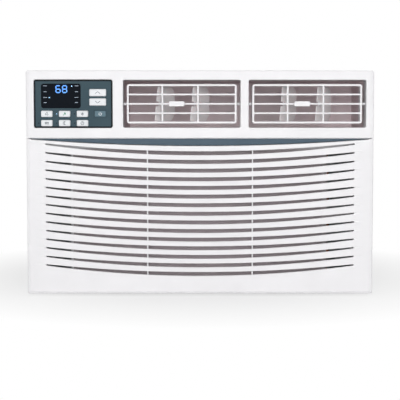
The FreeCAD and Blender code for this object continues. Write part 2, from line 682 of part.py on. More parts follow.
for hand, middle in OUTLET_MIDDLE.items():
    vanes = {"1": f"({middle} - vane_first)", "2": f"({middle} + vane_second)"}
    rail_pitch = "((louver_height - louver_border)/4)"
    cassette = new_body(f"cassette_{hand}")
    pad(cassette, "louver_front", "louver_bar", [
        cassette_outline(middle, 0),
        rounded(middle, VENT_Z, f"(2*{LOUVER_HALF} - 2*louver_border)", "(louver_height - 2*louver_border)", 1),
    ])
    for row in (-1, 0, 1):
        pad(cassette, "louver_front", "louver_bar", [corners(
            f"{middle} - {LOUVER_HALF} + louver_border/2", f"{VENT_Z} + {row}*{rail_pitch} - louver_rail/2",
            f"{middle} + {LOUVER_HALF} - louver_border/2", f"{VENT_Z} + {row}*{rail_pitch} + louver_rail/2")])
    for x in vanes.values():
        pad(cassette, "louver_front", "louver_bar", [corners(
            f"{x} - louver_rail/2", f"{LOUVER_LOW} + louver_border/2",
            f"{x} + louver_rail/2", f"{LOUVER_LOW} + louver_height - louver_border/2")])
    pad(cassette, "louver_front + louver_bar/2", "louver_back - louver_front - louver_bar/2",
        [cassette_outline(middle, 0), cassette_outline(middle, "louver_skirt")])
    pins = [
        rod(f"tilt_pin_{hand}_left", f"{middle} - {OUTLET_WIDTH}/2 - moulding + seat_gap", "tilt_depth", VENT_Z,
            "tilt_radius", "louver_side_gap + moulding", "x"),
        rod(f"tilt_pin_{hand}_right", f"{middle} + {LOUVER_HALF} - seat_gap", "tilt_depth", VENT_Z,
            "tilt_radius", "louver_side_gap + moulding", "x"),
    ]
    pivot_holes = [
        rod(f"pivot_hole_{hand}_{count}", x, "vane_depth", LOUVER_LOW,
            "vane_pivot_radius + run_gap", "louver_height")
        for count, x in vanes.items()
    ]
    name = f"louver_frame_{hand}"
    node(name, cut(name, fuse(f"cassette_with_pins_{hand}", [cassette, *pins]), pivot_holes))

    for count, x in vanes.items():
        blade = new_body(f"blade_{hand}_{count}")
        plate = blade.newObject("PartDesign::Pad", f"blade_pad_{hand}_{count}")
        plate.Profile = sketch_on(blade, "YZ_Plane", "0", [vane_outline])
        plate.Midplane = True
        plate.setExpression("Length", bound("vane_thick"))
        blade.Placement = Placement(Vector(), Rotation(Vector(0, 0, 1), -1))
        blade.setExpression("Placement.Rotation.Angle", bound("-vane_angle * 1deg"))
        place(blade, x, "vane_depth", VENT_Z)
        pivot_length = "(louver_height - louver_skirt)"
        pivot = rod(f"pivot_{hand}_{count}", x, "vane_depth", f"{VENT_Z} - {pivot_length}/2",
                    "vane_pivot_radius", pivot_length)
        peg = rod(f"peg_{hand}_{count}", f"{x} - crank*sin(vane_angle * 1deg)",
                  "vane_depth - crank*cos(vane_angle * 1deg)", f"{VENT_Z} - notch_half - seat_gap",
                  "peg_radius", "2*notch_half + 2*seat_gap")
        node(f"vane_{hand}_{count}", fuse(f"vane_{hand}_{count}", [blade, pivot, peg]))

    # The link joins both vanes behind the level bar, and its tab reaches round that bar.
    peg_depth = "(vane_depth - crank*cos(vane_angle * 1deg))"
    peg_x = {count: f"({x} - crank*sin(vane_angle * 1deg))" for count, x in vanes.items()}
    tab_x = f"(({peg_x['1']} + {peg_x['2']})/2)"
    link_pieces = [
        block(f"link_bar_{hand}", peg_x["1"], f"{peg_depth} - link_thick/2", f"{VENT_Z} - link_thick/2",
              ("vane_first + vane_second", "link_thick", "link_thick")),
        block(f"link_tab_{hand}", f"{tab_x} - tab_width/2", "tab_front", f"{VENT_Z} - tab_height/2",
              ("tab_width", "tab_thick", "tab_height")),
        block(f"link_post_{hand}", f"{tab_x} - web_width/2", f"{peg_depth} - link_thick/2",
              f"{VENT_Z} - tab_height/2", ("web_width", "link_thick", "tab_height")),
    ]
    for level in ("-tab_height/2", "tab_height/2 - web_thick"):
        link_pieces.append(block(f"link_web_{hand}_{len(link_pieces)}", f"{tab_x} - web_width/2", "tab_front",
                                 f"{VENT_Z} + {level}", ("web_width", f"{peg_depth} - tab_front", "web_thick")))
    link_pieces += [
        rod(f"link_eye_{hand}_{count}", x, peg_depth, f"{VENT_Z} - link_thick/2", "2*peg_radius", "link_thick")
        for count, x in peg_x.items()
    ]
    peg_holes = [
        rod(f"link_hole_{hand}_{count}", x, peg_depth, f"{VENT_Z} - link_thick", "peg_radius + run_gap",
            "2*link_thick")
        for count, x in peg_x.items()
    ]
    node(f"vane_link_{hand}", cut(f"vane_link_{hand}", fuse(f"link_solid_{hand}", link_pieces), peg_holes))


# ---- Intake grille and its hinge ----

def grille_outline(inset):
    """The grille: round lower corners, and a top edge that dips under the accent strip."""
    side = f"({HALF} - {inset})"
    low = f"(front_lift + {inset})"
    high = f"({SEAM} - seam_gap - {inset})"
    dip_end = f"({high} - strip_end - strip_clear)"
    radius = f"(strip_half^2/(2*strip_sag) + strip_sag/2 + strip_clear + {inset})"
    corner = f"(grille_corner - {inset})"
    return [
        (f"{corner} - {side}", low), (f"{side} - {corner}", low), (side, f"{low} + {corner}", corner, 1),
        (side, high), (f"strip_half + seam_gap", high), (f"strip_half + seam_gap", dip_end),
        ("-strip_half - seam_gap", dip_end, radius, -1), ("-strip_half - seam_gap", high), (f"-{side}", high),
        (f"-{side}", f"{low} + {corner}"), (f"{corner} - {side}", low, corner, 1),
    ]


def arc_radius(sag):
    """The radius of an arc over a slot's length with the given dip."""
    return f"(slot_half^2/(2*({sag})) + ({sag})/2)"


first_slot = f"({SEAM} - slot_top)"
slot_outline = [
    ("-slot_half", f"{first_slot} - slot_end/2"),
    ("slot_half", f"{first_slot} - slot_end/2", arc_radius("slot_sag + slot_swell/2"), 1),
    ("slot_half", f"{first_slot} + slot_end/2"),
    ("-slot_half", f"{first_slot} + slot_end/2", arc_radius("slot_sag - slot_swell/2"), -1),
]
slot_count = f"(floor(({first_slot} - front_lift - slot_foot)/slot_pitch) + 1)"

grille = new_body("grille_body")
pad(grille, 0, "grille_plate", [grille_outline(0)])
pad(grille, "grille_plate/2", "grille_depth - grille_plate/2", [grille_outline(0), grille_outline("moulding")])
slot = pocket(grille, 0, "grille_plate", [slot_outline])
slots = grille.newObject("PartDesign::LinearPattern", "grille_slots")
slots.Originals = [slot]
slots.Direction = (slot.Profile[0], ["V_Axis"])
slots.Reversed = True
slots.setExpression("Occurrences", bound(slot_count))
slots.setExpression("Length", bound(f"({slot_count} - 1)*slot_pitch"))
grille.Tip = slots
pad(grille, "grille_plate/2", "grille_plate/2 + rib_depth", [
    corners(f"{side}*rib_place - rib_width/2", "front_lift + moulding/2",
            f"{side}*rib_place + rib_width/2", f"{first_slot} - slot_sag")
    for side in (-1, 1)
])

ears, notches, lugs, hinge_pins, lug_bores, ear_bores = [], [], [], [], [], []
for side in (-1, 1):
    lug_x = f"{side}*hinge_place"
    hand = "left" if side < 0 else "right"
    notches.append(block(f"hinge_notch_{hand}", f"{lug_x} - lug_width/2 - ear_gap", "grille_plate", "0",
                         ("lug_width + 2*ear_gap", "grille_depth", f"{HINGE_Z} + 2*lug_radius")))
    for end, ear_x in (("a", f"{lug_x} - lug_width/2 - ear_gap - moulding"),
                       ("b", f"{lug_x} + lug_width/2 + ear_gap")):
        ears.append(block(f"ear_{hand}_{end}", ear_x, "grille_plate/2", "front_lift + moulding/2",
                          ("moulding", "hinge_depth + lug_radius - grille_plate/2",
                           "hinge_rise + lug_radius - moulding/2")))
    lugs.append(block(f"lug_arm_{hand}", f"{lug_x} - lug_width/2", "hinge_depth", f"{HINGE_Z} - lug_radius",
                      ("lug_width", "frame_front + frame_plate/2 - hinge_depth", "2*lug_radius")))
    lugs.append(rod(f"lug_eye_{hand}", f"{lug_x} - lug_width/2", "hinge_depth", HINGE_Z, "lug_radius",
                    "lug_width", "x"))
    pin_half = "(lug_width/2 + ear_gap + moulding)"
    hinge_pins.append(rod(f"hinge_pin_{hand}", f"{lug_x} - {pin_half}", "hinge_depth", HINGE_Z, "hinge_pin",
                          f"2*{pin_half}", "x"))
    for bores, what in ((lug_bores, "lug"), (ear_bores, "ear")):
        bores.append(rod(f"{what}_bore_{hand}", f"{lug_x} - {pin_half}", "hinge_depth", HINGE_Z,
                         "hinge_pin + run_gap", f"2*{pin_half}", "x"))
heel = block("grille_heel", f"-{HALF}", "grille_depth - ear_gap*2", "front_lift",
             ("front_width", "grille_depth", "hinge_rise - seam_gap"))
node("intake_grille",
     cut("intake_grille", fuse("grille_with_ears", [grille, *ears]), [*notches, heel, *ear_bores]))
node("grille_hinge_pins", group("grille_hinge_pins", hinge_pins))


# ---- Lower front frame, with the rails of the air filter ----

FILTER_LOW = "(front_lift + filter_low)"
RAIL_FRONT = "(frame_front + frame_plate)"
RAIL_BACK = f"({RAIL_FRONT} + filter_thick + 2*seat_gap)"
window = corners("-window_half", f"{FILTER_LOW} + filter_border/2",
                 "window_half", f"{FILTER_LOW} + filter_height - filter_border/2")


def frame_outline(inset):
    """The lower frame's outline under the seam."""
    return corners(f"{inset} - {HALF}", f"front_lift + {inset}", f"{HALF} - {inset}", f"{SEAM} - {inset}")


frame = new_body("frame_body")
pad(frame, "frame_front", "bezel_depth - frame_front", [frame_outline(0), frame_outline("moulding")])
pad(frame, "frame_front", "frame_plate", [frame_outline("moulding/2"), window])
pad(frame, RAIL_BACK, "frame_rail", [frame_outline("moulding/2"), window])
pad(frame, "bezel_depth - rim_depth", "rim_depth", [
    frame_outline("moulding/2"),
    corners(f"{RIM} - {HALF}", f"front_lift + {RIM}", f"{HALF} - {RIM}", f"{SEAM} - moulding"),
])
filter_stop = block("filter_stop", "-filter_half - seat_gap - frame_plate", "frame_front",
                    f"{FILTER_LOW} + filter_border/4",
                    ("frame_plate", f"{RAIL_BACK} + frame_rail - frame_front", "filter_height - filter_border/2"))
filter_slot = block("filter_slot", "-filter_half - seat_gap", RAIL_FRONT, f"{FILTER_LOW} - seat_gap",
                    (f"{HALF} + filter_half + 2*seat_gap", "filter_thick + 2*seat_gap",
                     "filter_height + 2*seat_gap"))
pan_room = block("pan_room", f"{RIM} - {HALF}", f"{RAIL_BACK} + frame_rail", "0",
                 (f"2*({HALF} - {RIM})", "bezel_depth", f"front_lift + {RIM} + seat_gap"))
node("front_frame", cut("front_frame", fuse("frame_with_lugs", [frame, filter_stop, *lugs]),
                        [filter_slot, pan_room, cabinet_room("room_in_frame"), *lug_bores]))

filter_body = new_body("filter_body")
FILTER_FRONT = f"({RAIL_FRONT} + seat_gap)"
FILTER_END = f"({HALF} - seat_gap)"
grip_front = f"{FILTER_END} - filter_grip"
filter_high = f"({FILTER_LOW} + filter_height)"
pad(filter_body, FILTER_FRONT, "filter_thick", [
    corners("-filter_half", FILTER_LOW, "filter_half", filter_high),
    corners("filter_border - filter_half", f"{FILTER_LOW} + filter_border",
            "filter_half - filter_border", f"{filter_high} - filter_border"),
])
pad(filter_body, FILTER_FRONT, "filter_thick", [corners(grip_front, FILTER_LOW, FILTER_END, filter_high)])
for low in (FILTER_LOW, f"{FILTER_LOW} + filter_height/2 - filter_border/2", f"{filter_high} - filter_border"):
    pad(filter_body, FILTER_FRONT, "filter_thick",
        [corners("filter_half - filter_border/2", low, f"{grip_front} + filter_grip/2", f"{low} + filter_border")])
node("filter_frame", filter_body)
node("filter_mesh", block("filter_mesh", "filter_border - filter_half",
                          f"{FILTER_FRONT} + filter_thick/2 - mesh_thick/2", f"{FILTER_LOW} + filter_border",
                          ("2*(filter_half - filter_border)", "mesh_thick", "filter_height - 2*filter_border")))


# ---- Cabinet, base pan and rear guard ----

PAN_HALF = f"({CABINET_HALF} - panel_gauge)"
pan_outside = block("pan_outside", f"-{PAN_HALF}", "pan_front", "0",
                    (f"2*{PAN_HALF}", f"{GUARD_FRONT} - pan_front", "pan_rim"))
pan_inside = block("pan_inside", f"pan_gauge - {PAN_HALF}", "pan_front + pan_gauge", "pan_gauge",
                   (f"2*{PAN_HALF} - 2*pan_gauge", f"{GUARD_FRONT} - pan_front - 2*pan_gauge", "pan_rim"))
sill_holes = [
    rod(f"sill_hole_{count}", f"{across}*sill_across/2", f"sill_place + {along}*sill_along/2", "-pan_gauge",
        "sill_radius", "3*pan_gauge")
    for count, (across, along) in enumerate(((-1, -1), (1, -1), (1, 1), (-1, 1)))
]
drain_hole = rod("drain_hole", f"drain_inset - {CABINET_HALF}", f"{GUARD_FRONT} - drain_inset", "-pan_gauge",
                 "drain_radius", "3*pan_gauge")
SCREW_DEPTHS = ("cabinet_front + screw_first", "overall_depth/2", f"{GUARD_FRONT} - screw_last")
SCREW_Z = "(pan_rim*0.6)"
screw_holes = {
    side: [
        rod(f"screw_hole_{side}_{count}", f"{'-' if side == 'left' else ''}{CABINET_HALF} - 3*pan_gauge", depth,
            SCREW_Z, "screw_radius + seat_gap/3", "6*pan_gauge", "x")
        for count, depth in enumerate(SCREW_DEPTHS)
    ]
    for side in ("left", "right")
}
node("base_pan", cut("base_pan", pan_outside,
                     [pan_inside, *sill_holes, drain_hole, *screw_holes["left"], *screw_holes["right"]]))

SIDE_LOW = "(panel_gauge*3)"
SIDE_HIGH = f"({CABINET_TOP} - panel_gauge)"
LAST_SLOT = "(overall_depth - louvre_rear)"
for side in ("left", "right"):
    outer = f"-{CABINET_HALF}" if side == "left" else f"({CABINET_HALF} - panel_gauge)"
    through = (f"{outer} - panel_gauge", "3*panel_gauge")
    air_slots = [
        block(f"air_slot_{side}_{count}_{row}", through[0], f"{LAST_SLOT} - {count}*louvre_pitch - louvre_slot",
              f"{SIDE_HIGH} - {row + 1}*(louvre_row_gap + louvre_length)",
              (through[1], "louvre_slot", "louvre_length"))
        for count in range(int(value("louvre_count"))) for row in range(2)
    ]
    curtain_holes = [
        rod(f"curtain_hole_{side}_{count}", through[0], "curtain_place",
            f"curtain_low + {count}*curtain_spacing", "fixing_radius", through[1], "x")
        for count in range(2)
    ]
    gland_hole = [rod("gland_hole", through[0], "gland_place", "gland_height", "2*gland_radius", through[1], "x")]
    sheet_side = block(f"sheet_{side}", outer, "cabinet_front", SIDE_LOW,
                       ("panel_gauge", f"{GUARD_FRONT} - cabinet_front", f"{SIDE_HIGH} - {SIDE_LOW}"))
    node(f"cabinet_side_{side}", cut(f"cabinet_side_{side}", sheet_side, [
        *air_slots, *curtain_holes, *screw_holes[side], *(gland_hole if side == "right" else []),
    ]))
sheet_top = block("sheet_top", f"-{CABINET_HALF}", "cabinet_front", SIDE_HIGH,
                  ("cabinet_width", f"{GUARD_FRONT} - cabinet_front", "panel_gauge"))
top_slots = [
    block(f"top_slot_{count}_{side}", f"{side}*top_slot_place - louvre_length",
          f"{LAST_SLOT} - {count}*louvre_pitch",
          f"{SIDE_HIGH} - panel_gauge", ("2*louvre_length", "louvre_slot", "3*panel_gauge"))
    for count in range(int(value("top_slot_count"))) for side in (-1, 1)
]
rail_holes = [
    rod(f"rail_hole_{count}", f"{side}*rail_spacing/2", "rail_place", f"{SIDE_HIGH} - panel_gauge",
        "fixing_radius", "3*panel_gauge")
    for count, side in enumerate((-1, 1))
]
node("cabinet_top", cut("cabinet_top", sheet_top, [*top_slots, *rail_holes]))

guard = new_body("guard_body")
guard_high = CABINET_TOP
pad(guard, GUARD_FRONT, "guard_thick", [
    corners(f"-{CABINET_HALF}", SIDE_LOW, CABINET_HALF, guard_high),
    corners(f"guard_border - {CABINET_HALF}", f"{SIDE_LOW} + guard_border",
            f"{CABINET_HALF} - guard_border", f"{guard_high} - guard_border"),
])
guard_bar = pad(guard, GUARD_FRONT, "guard_bar", [corners(
    f"guard_border/2 - {CABINET_HALF}", f"{SIDE_LOW} + guard_border + guard_pitch/2",
    f"{CABINET_HALF} - guard_border/2", f"{SIDE_LOW} + guard_border + guard_pitch/2 + guard_bar")])
bar_count = f"floor(({guard_high} - {SIDE_LOW} - 2*guard_border - guard_pitch/2)/guard_pitch)"
bars = guard.newObject("PartDesign::LinearPattern", "guard_bars")
bars.Originals = [guard_bar]
bars.Direction = (guard_bar.Profile[0], ["V_Axis"])
bars.setExpression("Occurrences", bound(bar_count))
bars.setExpression("Length", bound(f"({bar_count} - 1)*guard_pitch"))
guard.Tip = bars
pad(guard, GUARD_FRONT, "guard_bar", [
    corners(f"{side}*{CABINET_HALF}/3 - guard_bar", f"{SIDE_LOW} + guard_border/2",
            f"{side}*{CABINET_HALF}/3 + guard_bar", f"{guard_high} - guard_border/2")
    for side in (-1, 1)
])
node("rear_guard", guard)

screws = []
for side, outer, inner in (("left", f"-{CABINET_HALF} - screw_head/2", f"-{CABINET_HALF}"),
                           ("right", CABINET_HALF, f"{CABINET_HALF} - 3*pan_gauge")):
    for count, depth in enumerate(SCREW_DEPTHS):
        screws.append(fuse(f"screw_{side}_{count}", [
            rod(f"screw_head_{side}_{count}", outer, depth, SCREW_Z, "screw_head", "screw_head/2", "x"),
            rod(f"screw_shank_{side}_{count}", inner, depth, SCREW_Z, "screw_radius", "3*pan_gauge", "x"),
        ]))
node("cabinet_screws", group("cabinet_screws", screws))

gland_flange = rod("gland_flange", CABINET_HALF, "gland_place", "gland_height",
                   "3*gland_radius", "gland_radius", "x")
gland_neck = rod("gland_neck", f"{CABINET_HALF} - 2*gland_radius", "gland_place", "gland_height",
                 "2*gland_radius - seat_gap/3", "2*gland_radius", "x")
gland_bore = rod("gland_bore", f"{CABINET_HALF} - 3*gland_radius", "gland_place", "gland_height",
                 "gland_radius", "6*gland_radius", "x")
node("cord_gland", cut("cord_gland", fuse("gland_solid", [gland_flange, gland_neck]), [gland_bore]))


# ---- Air path: duct, scroll, bulkhead and shroud ----

DUCT_FRONT = "(throat_depth + seat_gap)"
DUCT_FROM = f"({OUTLETS_FROM} - duct_wall)"
DUCT_TO = f"({OUTLETS_TO} + duct_wall)"
DUCT_LENGTH = f"(bulkhead_front - {DUCT_FRONT})"
NECK_TO = f"(fan_side + {SCROLL_RADIUS} + 3*scroll_growth)"
duct_outside = block("duct_outside", DUCT_FROM, DUCT_FRONT, DUCT_FLOOR,
                     (f"{DUCT_TO} - {DUCT_FROM}", DUCT_LENGTH, "outlet_height + 2*duct_wall"))
duct_inside = block("duct_inside", OUTLETS_FROM, f"{DUCT_FRONT} - duct_wall", f"{DUCT_FLOOR} + duct_wall",
                    (f"{OUTLETS_TO} - {OUTLETS_FROM}", DUCT_LENGTH, "outlet_height"))
duct_mouth = block("duct_mouth", "fan_side", "scroll_front + scroll_wall", f"{DUCT_FLOOR} - duct_wall",
                   (f"{NECK_TO} - fan_side", "bulkhead_front - scroll_front - 2*scroll_wall", "3*duct_wall"))
node("discharge_duct", cut("discharge_duct", duct_outside, [duct_inside, duct_mouth]))


def scroll_outline(wall, top):
    """A scroll that grows by a step in each quarter turn and ends in an upright neck."""
    radius, step = f"({SCROLL_RADIUS} + {wall})", "scroll_growth"
    right = f"(fan_side + {radius} + 3*{step})"
    return [
        (f"fan_side - {wall}", top), (f"fan_side - {wall}", f"{FAN_Z} + {radius} - {wall}*{wall}/(2*{radius})"),
        (f"fan_side - {radius}", FAN_Z, radius, 1),
        (f"fan_side + {step}", f"{FAN_Z} - {radius} - {step}", f"({radius} + {step})", 1),
        (right, f"{FAN_Z} + {step}", f"({radius} + 2*{step})", 1), (right, top),
    ]


SCROLL_LENGTH = "(bulkhead_front - scroll_front)"
scroll = new_body("scroll_body")
pad(scroll, "scroll_front", SCROLL_LENGTH, [scroll_outline("scroll_wall", DUCT_FLOOR)])
pocket(scroll, "scroll_front + scroll_wall", f"{SCROLL_LENGTH} - 2*scroll_wall",
       [scroll_outline("0", f"{DUCT_FLOOR} + duct_wall")])
pocket(scroll, "scroll_front", "2*scroll_wall", [("circle", "fan_side", FAN_Z, f"{SCROLL_RADIUS}*0.76")])
pocket(scroll, "bulkhead_front - 2*scroll_wall", "3*scroll_wall",
       [("circle", "fan_side", FAN_Z, "2*shaft_radius")])
node("blower_scroll", scroll)

bulkhead_panel = block("bulkhead_panel", f"pan_gauge - {PAN_HALF} + seat_gap", "bulkhead_front",
                       "pan_gauge + seat_gap",
                       (f"2*({PAN_HALF} - pan_gauge - seat_gap)", "bulkhead_thick",
                        f"{SIDE_HIGH} - pan_gauge - 2*seat_gap"))
shaft_hole = rod("shaft_hole", "fan_side", "bulkhead_front - bulkhead_thick", FAN_Z, "2*shaft_radius",
                 "3*bulkhead_thick", "y")
SUCTION_X = "(-evap_half - end_plate - bend_radius - 4*tube_radius)"
SUCTION_Z = "(pan_gauge + coil_lift + 4*bend_pitch)"
suction_hole = rod("suction_hole", SUCTION_X, "bulkhead_front - bulkhead_thick", SUCTION_Z,
                   "pipe_radius + seat_gap", "3*bulkhead_thick", "y")
node("bulkhead", cut("bulkhead", bulkhead_panel, [shaft_hole, suction_hole]))

COND_BACK = "(overall_depth - cond_rear)"
COND_FRONT = f"({COND_BACK} - cond_depth)"
COND_HALF = f"({CABINET_HALF} - cond_side_gap)"
COND_LOW = "(pan_gauge + coil_lift)"
COND_HIGH = f"({SIDE_HIGH} - cond_top_gap)"
FAN_FRONT = "(overall_depth - fan_rear - fan_length)"
SHROUD_HOLE = f"({FAN_RADIUS} + fan_tip_gap)"
shroud = new_body("shroud_body")
shroud_loop = corners(f"-{COND_HALF}", f"pan_gauge + seat_gap", COND_HALF, COND_HIGH)
pad(shroud, f"{FAN_FRONT} + fan_length/2", f"{COND_FRONT} - seat_gap - {FAN_FRONT} - fan_length/2", [
    shroud_loop,
    corners(f"moulding - {COND_HALF}", "pan_gauge + seat_gap + moulding", f"{COND_HALF} - moulding",
            f"{COND_HIGH} - moulding"),
])
pad(shroud, f"{FAN_FRONT} + fan_length/2", "moulding", [shroud_loop, ("circle", "fan_side", FAN_Z, SHROUD_HOLE)])
pad(shroud, f"{FAN_FRONT} + fan_length/4", "fan_length/2", [
    ("circle", "fan_side", FAN_Z, f"({SHROUD_HOLE} + moulding)"), ("circle", "fan_side", FAN_Z, SHROUD_HOLE),
])
node("fan_shroud", shroud)


# ---- Fan motor, shaft, blower wheel and condenser fan ----

WHEEL_FRONT = "(scroll_front + wheel_end_gap)"
WHEEL_BACK = "(bulkhead_front - wheel_end_gap)"
WHEEL_RADIUS = f"({SCROLL_RADIUS} - wheel_gap)"
BORE = "(shaft_radius + run_gap)"
wheel = new_body("wheel_body")
pad(wheel, f"{WHEEL_BACK} - moulding", "moulding",
    [("circle", "fan_side", FAN_Z, WHEEL_RADIUS), ("circle", "fan_side", FAN_Z, BORE)])
pad(wheel, WHEEL_FRONT, "2*moulding",
    [("circle", "fan_side", FAN_Z, WHEEL_RADIUS), ("circle", "fan_side", FAN_Z, f"({WHEEL_RADIUS} - 4*moulding)")])
pad(wheel, f"{WHEEL_BACK} - 8*moulding", "8*moulding",
    [("circle", "fan_side", FAN_Z, "2.5*shaft_radius"), ("circle", "fan_side", FAN_Z, BORE)])
blades = [wheel]
for count in range(int(value("blade_count"))):
    turn = f"(360*{count}/blade_count)"
    reach = f"({WHEEL_RADIUS} - 3*moulding)"
    blade = block(f"wheel_blade_{count}", f"fan_side + {reach}*cos({turn} * 1deg)", WHEEL_FRONT,
                  f"{FAN_Z} - {reach}*sin({turn} * 1deg)",
                  ("2.5*moulding", f"{WHEEL_BACK} - {WHEEL_FRONT}", "moulding/2"))
    blade.Placement.Rotation = Rotation(Vector(0, 1, 0), 1)
    blade.setExpression("Placement.Rotation.Angle", bound(f"{turn} * 1deg"))
    blades.append(blade)
node("blower_wheel", fuse("blower_wheel", blades))

FAN_BACK = f"({FAN_FRONT} + fan_length)"
node("motor_shaft", rod("motor_shaft", "fan_side", f"{WHEEL_BACK} - 8*moulding", FAN_Z, "shaft_radius",
                        f"{FAN_BACK} - {WHEEL_BACK} + 8*moulding", "y"))
motor_solid = fuse("motor_solid", [
    rod("motor_can", "fan_side", "motor_front", FAN_Z, "motor_radius", "motor_length", "y"),
    rod("motor_nose", "fan_side", "motor_front - 3*moulding", FAN_Z, "3*shaft_radius",
        "motor_length + 6*moulding", "y"),
])
motor_bore = rod("motor_bore", "fan_side", "motor_front - 6*moulding", FAN_Z, BORE,
                 "motor_length + 12*moulding", "y")
node("fan_motor", cut("fan_motor", motor_solid, [motor_bore]))
STRAP = "(motor_length/2)"
bracket_pieces = [
    block("bracket_saddle", "fan_side - motor_radius - pan_gauge", f"motor_front + {STRAP}/2", "pan_gauge",
          ("2*motor_radius + 2*pan_gauge", STRAP, f"{FAN_Z} - pan_gauge")),
]
bracket_cuts = [
    rod("bracket_seat", "fan_side", "motor_front", FAN_Z, "motor_radius", "motor_length", "y"),
    block("bracket_room", "fan_side - motor_radius + pan_gauge", "motor_front", "2*pan_gauge",
          ("2*motor_radius - 2*pan_gauge", "motor_length", f"{FAN_Z} - motor_radius - 4*pan_gauge")),
]
node("motor_bracket", cut("motor_bracket", bracket_pieces[0], bracket_cuts))


def fan_section(radius, chord, pitch, turn):
    """One section of a pitched fan blade: a thin rectangle across a radius."""
    half_chord, half_thick = chord / 2, value("moulding") / 2
    along = Vector(0, math.cos(pitch), math.sin(pitch))
    across = Vector(0, -math.sin(pitch), math.cos(pitch))
    shape = [along * (a * half_chord) + across * (b * half_thick) for a, b in ((-1, -1), (1, -1), (1, 1), (-1, 1))]
    spin = Rotation(Vector(0, 1, 0), turn)
    points = [spin.multVec(point + Vector(radius, 0, 0)) for point in shape]
    return Part.makePolygon(points + points[:1])


fan_radius, fan_hub, fan_length = value(FAN_RADIUS), value("fan_hub"), value("fan_length")
fan_shape = Part.makeCylinder(fan_hub, fan_length * 0.8, Vector(0, -fan_length * 0.4, 0), Vector(0, 1, 0))
for count in range(int(value("fan_blades"))):
    turn = 360 * count / value("fan_blades")
    sections = [
        fan_section(fan_hub * 0.8, fan_length, math.radians(50), turn),
        fan_section((fan_hub + fan_radius) / 2, fan_length * 1.6, math.radians(62), turn),
        fan_section(fan_radius, fan_length * 1.8, math.radians(68), turn),
    ]
    for inner, outer in zip(sections, sections[1:]):
        fan_shape = fan_shape.fuse(Part.makeLoft([inner, outer], True, True))
fan_shape = fan_shape.cut(Part.makeCylinder(value(BORE), fan_length, Vector(0, -fan_length / 2, 0),
                                            Vector(0, 1, 0)))
fan = doc.addObject("Part::Feature", "condenser_fan")
fan.Shape = fan_shape.removeSplitter()
fan.Placement = Placement(Vector(value("fan_side"), value(f"{behind(FAN_FRONT)} + fan_length/2"), value(FAN_Z)),
                          Rotation())
node("condenser_fan", fan)


# ---- Cooling circuit ----

def coil(name, front, depth, half, low, high):
    """Fins as one block, with an end plate each side that stands on the pan, and return bends."""
    fins = block(f"{name}_block", f"-{half}", front, low, (f"2*{half}", depth, f"{high} - {low}"))
    plates = [
        block(f"{name}_plate_{side}", x, front, "pan_gauge", ("end_plate", depth, f"{high} - pan_gauge"))
        for side, x in (("left", f"-{half} - end_plate"), ("right", half))
    ]
    node(f"{name}_fins", fuse(f"{name}_fins", [fins, *plates]))
    rows = int((value(high) - value(low)) / value("bend_pitch"))
    bends = []
    for side, sign in (("left", -1), ("right", 1)):
        for row in range(rows):
            bend = doc.addObject("Part::Torus", f"{name}_bend_{side}_{row}")
            bend.Placement = Placement(Vector(), Rotation(Vector(1, 0, 0), 90))
            bend.setExpression("Radius1", bound("bend_radius"))
            bend.setExpression("Radius2", bound("tube_radius"))
            bend.Angle3 = 180
            if sign < 0:
                bend.Placement.Rotation = Rotation(Vector(0, 1, 0), -90).multiply(Rotation(Vector(1, 0, 0), 90))
            else:
                bend.Placement.Rotation = Rotation(Vector(0, 1, 0), 90).multiply(Rotation(Vector(1, 0, 0), 90))
            place(bend, f"{sign}*({half} + end_plate)", f"({front}) + ({depth})/2",
                  f"{low} + bend_pitch/2 + {row}*bend_pitch")
            bends.append(bend)
    node(f"{name}_tubes", group(f"{name}_tubes", bends))


coil("evaporator", "evap_front", "evap_depth", "evap_half", "(pan_gauge + coil_lift)",
     f"({DUCT_FLOOR} - evap_top_gap)")
coil("condenser", COND_FRONT, "cond_depth", COND_HALF, COND_LOW, COND_HIGH)

FEET = [(math.cos(math.radians(angle)), math.sin(math.radians(angle))) for angle in (90, 210, 330)]
comp_shell = [
    rod("comp_can", COMP_X, COMP_DEPTH, COMP_LOW, "comp_radius", "comp_height"),
    rod("comp_plate", COMP_X, COMP_DEPTH, COMP_LOW, "foot_reach + foot_height/2", "2*pan_gauge"),
]
node("compressor", fuse("compressor", comp_shell))
node("compressor_mounts", group("compressor_mounts", [
    rod(f"comp_foot_{count}", f"{COMP_X} + foot_reach*{x:.6f}", f"{COMP_DEPTH} + foot_reach*{y:.6f}", "pan_gauge",
        "foot_height/2", "foot_height")
    for count, (x, y) in enumerate(FEET)
]))
ACCU_X = f"({COMP_X} - comp_radius - accu_radius - seat_gap)"
ACCU_LOW = f"({COMP_TOP} - accu_height - accu_radius)"
node("accumulator", rod("accumulator", ACCU_X, COMP_DEPTH, ACCU_LOW, "accu_radius", "accu_height"))
node("run_capacitor", rod("run_capacitor", f"fan_side - motor_radius - 3*cap_radius",
                          "bulkhead_front + bulkhead_thick + seat_gap + cap_radius",
                          f"{FAN_Z}", "cap_radius", "cap_height"))


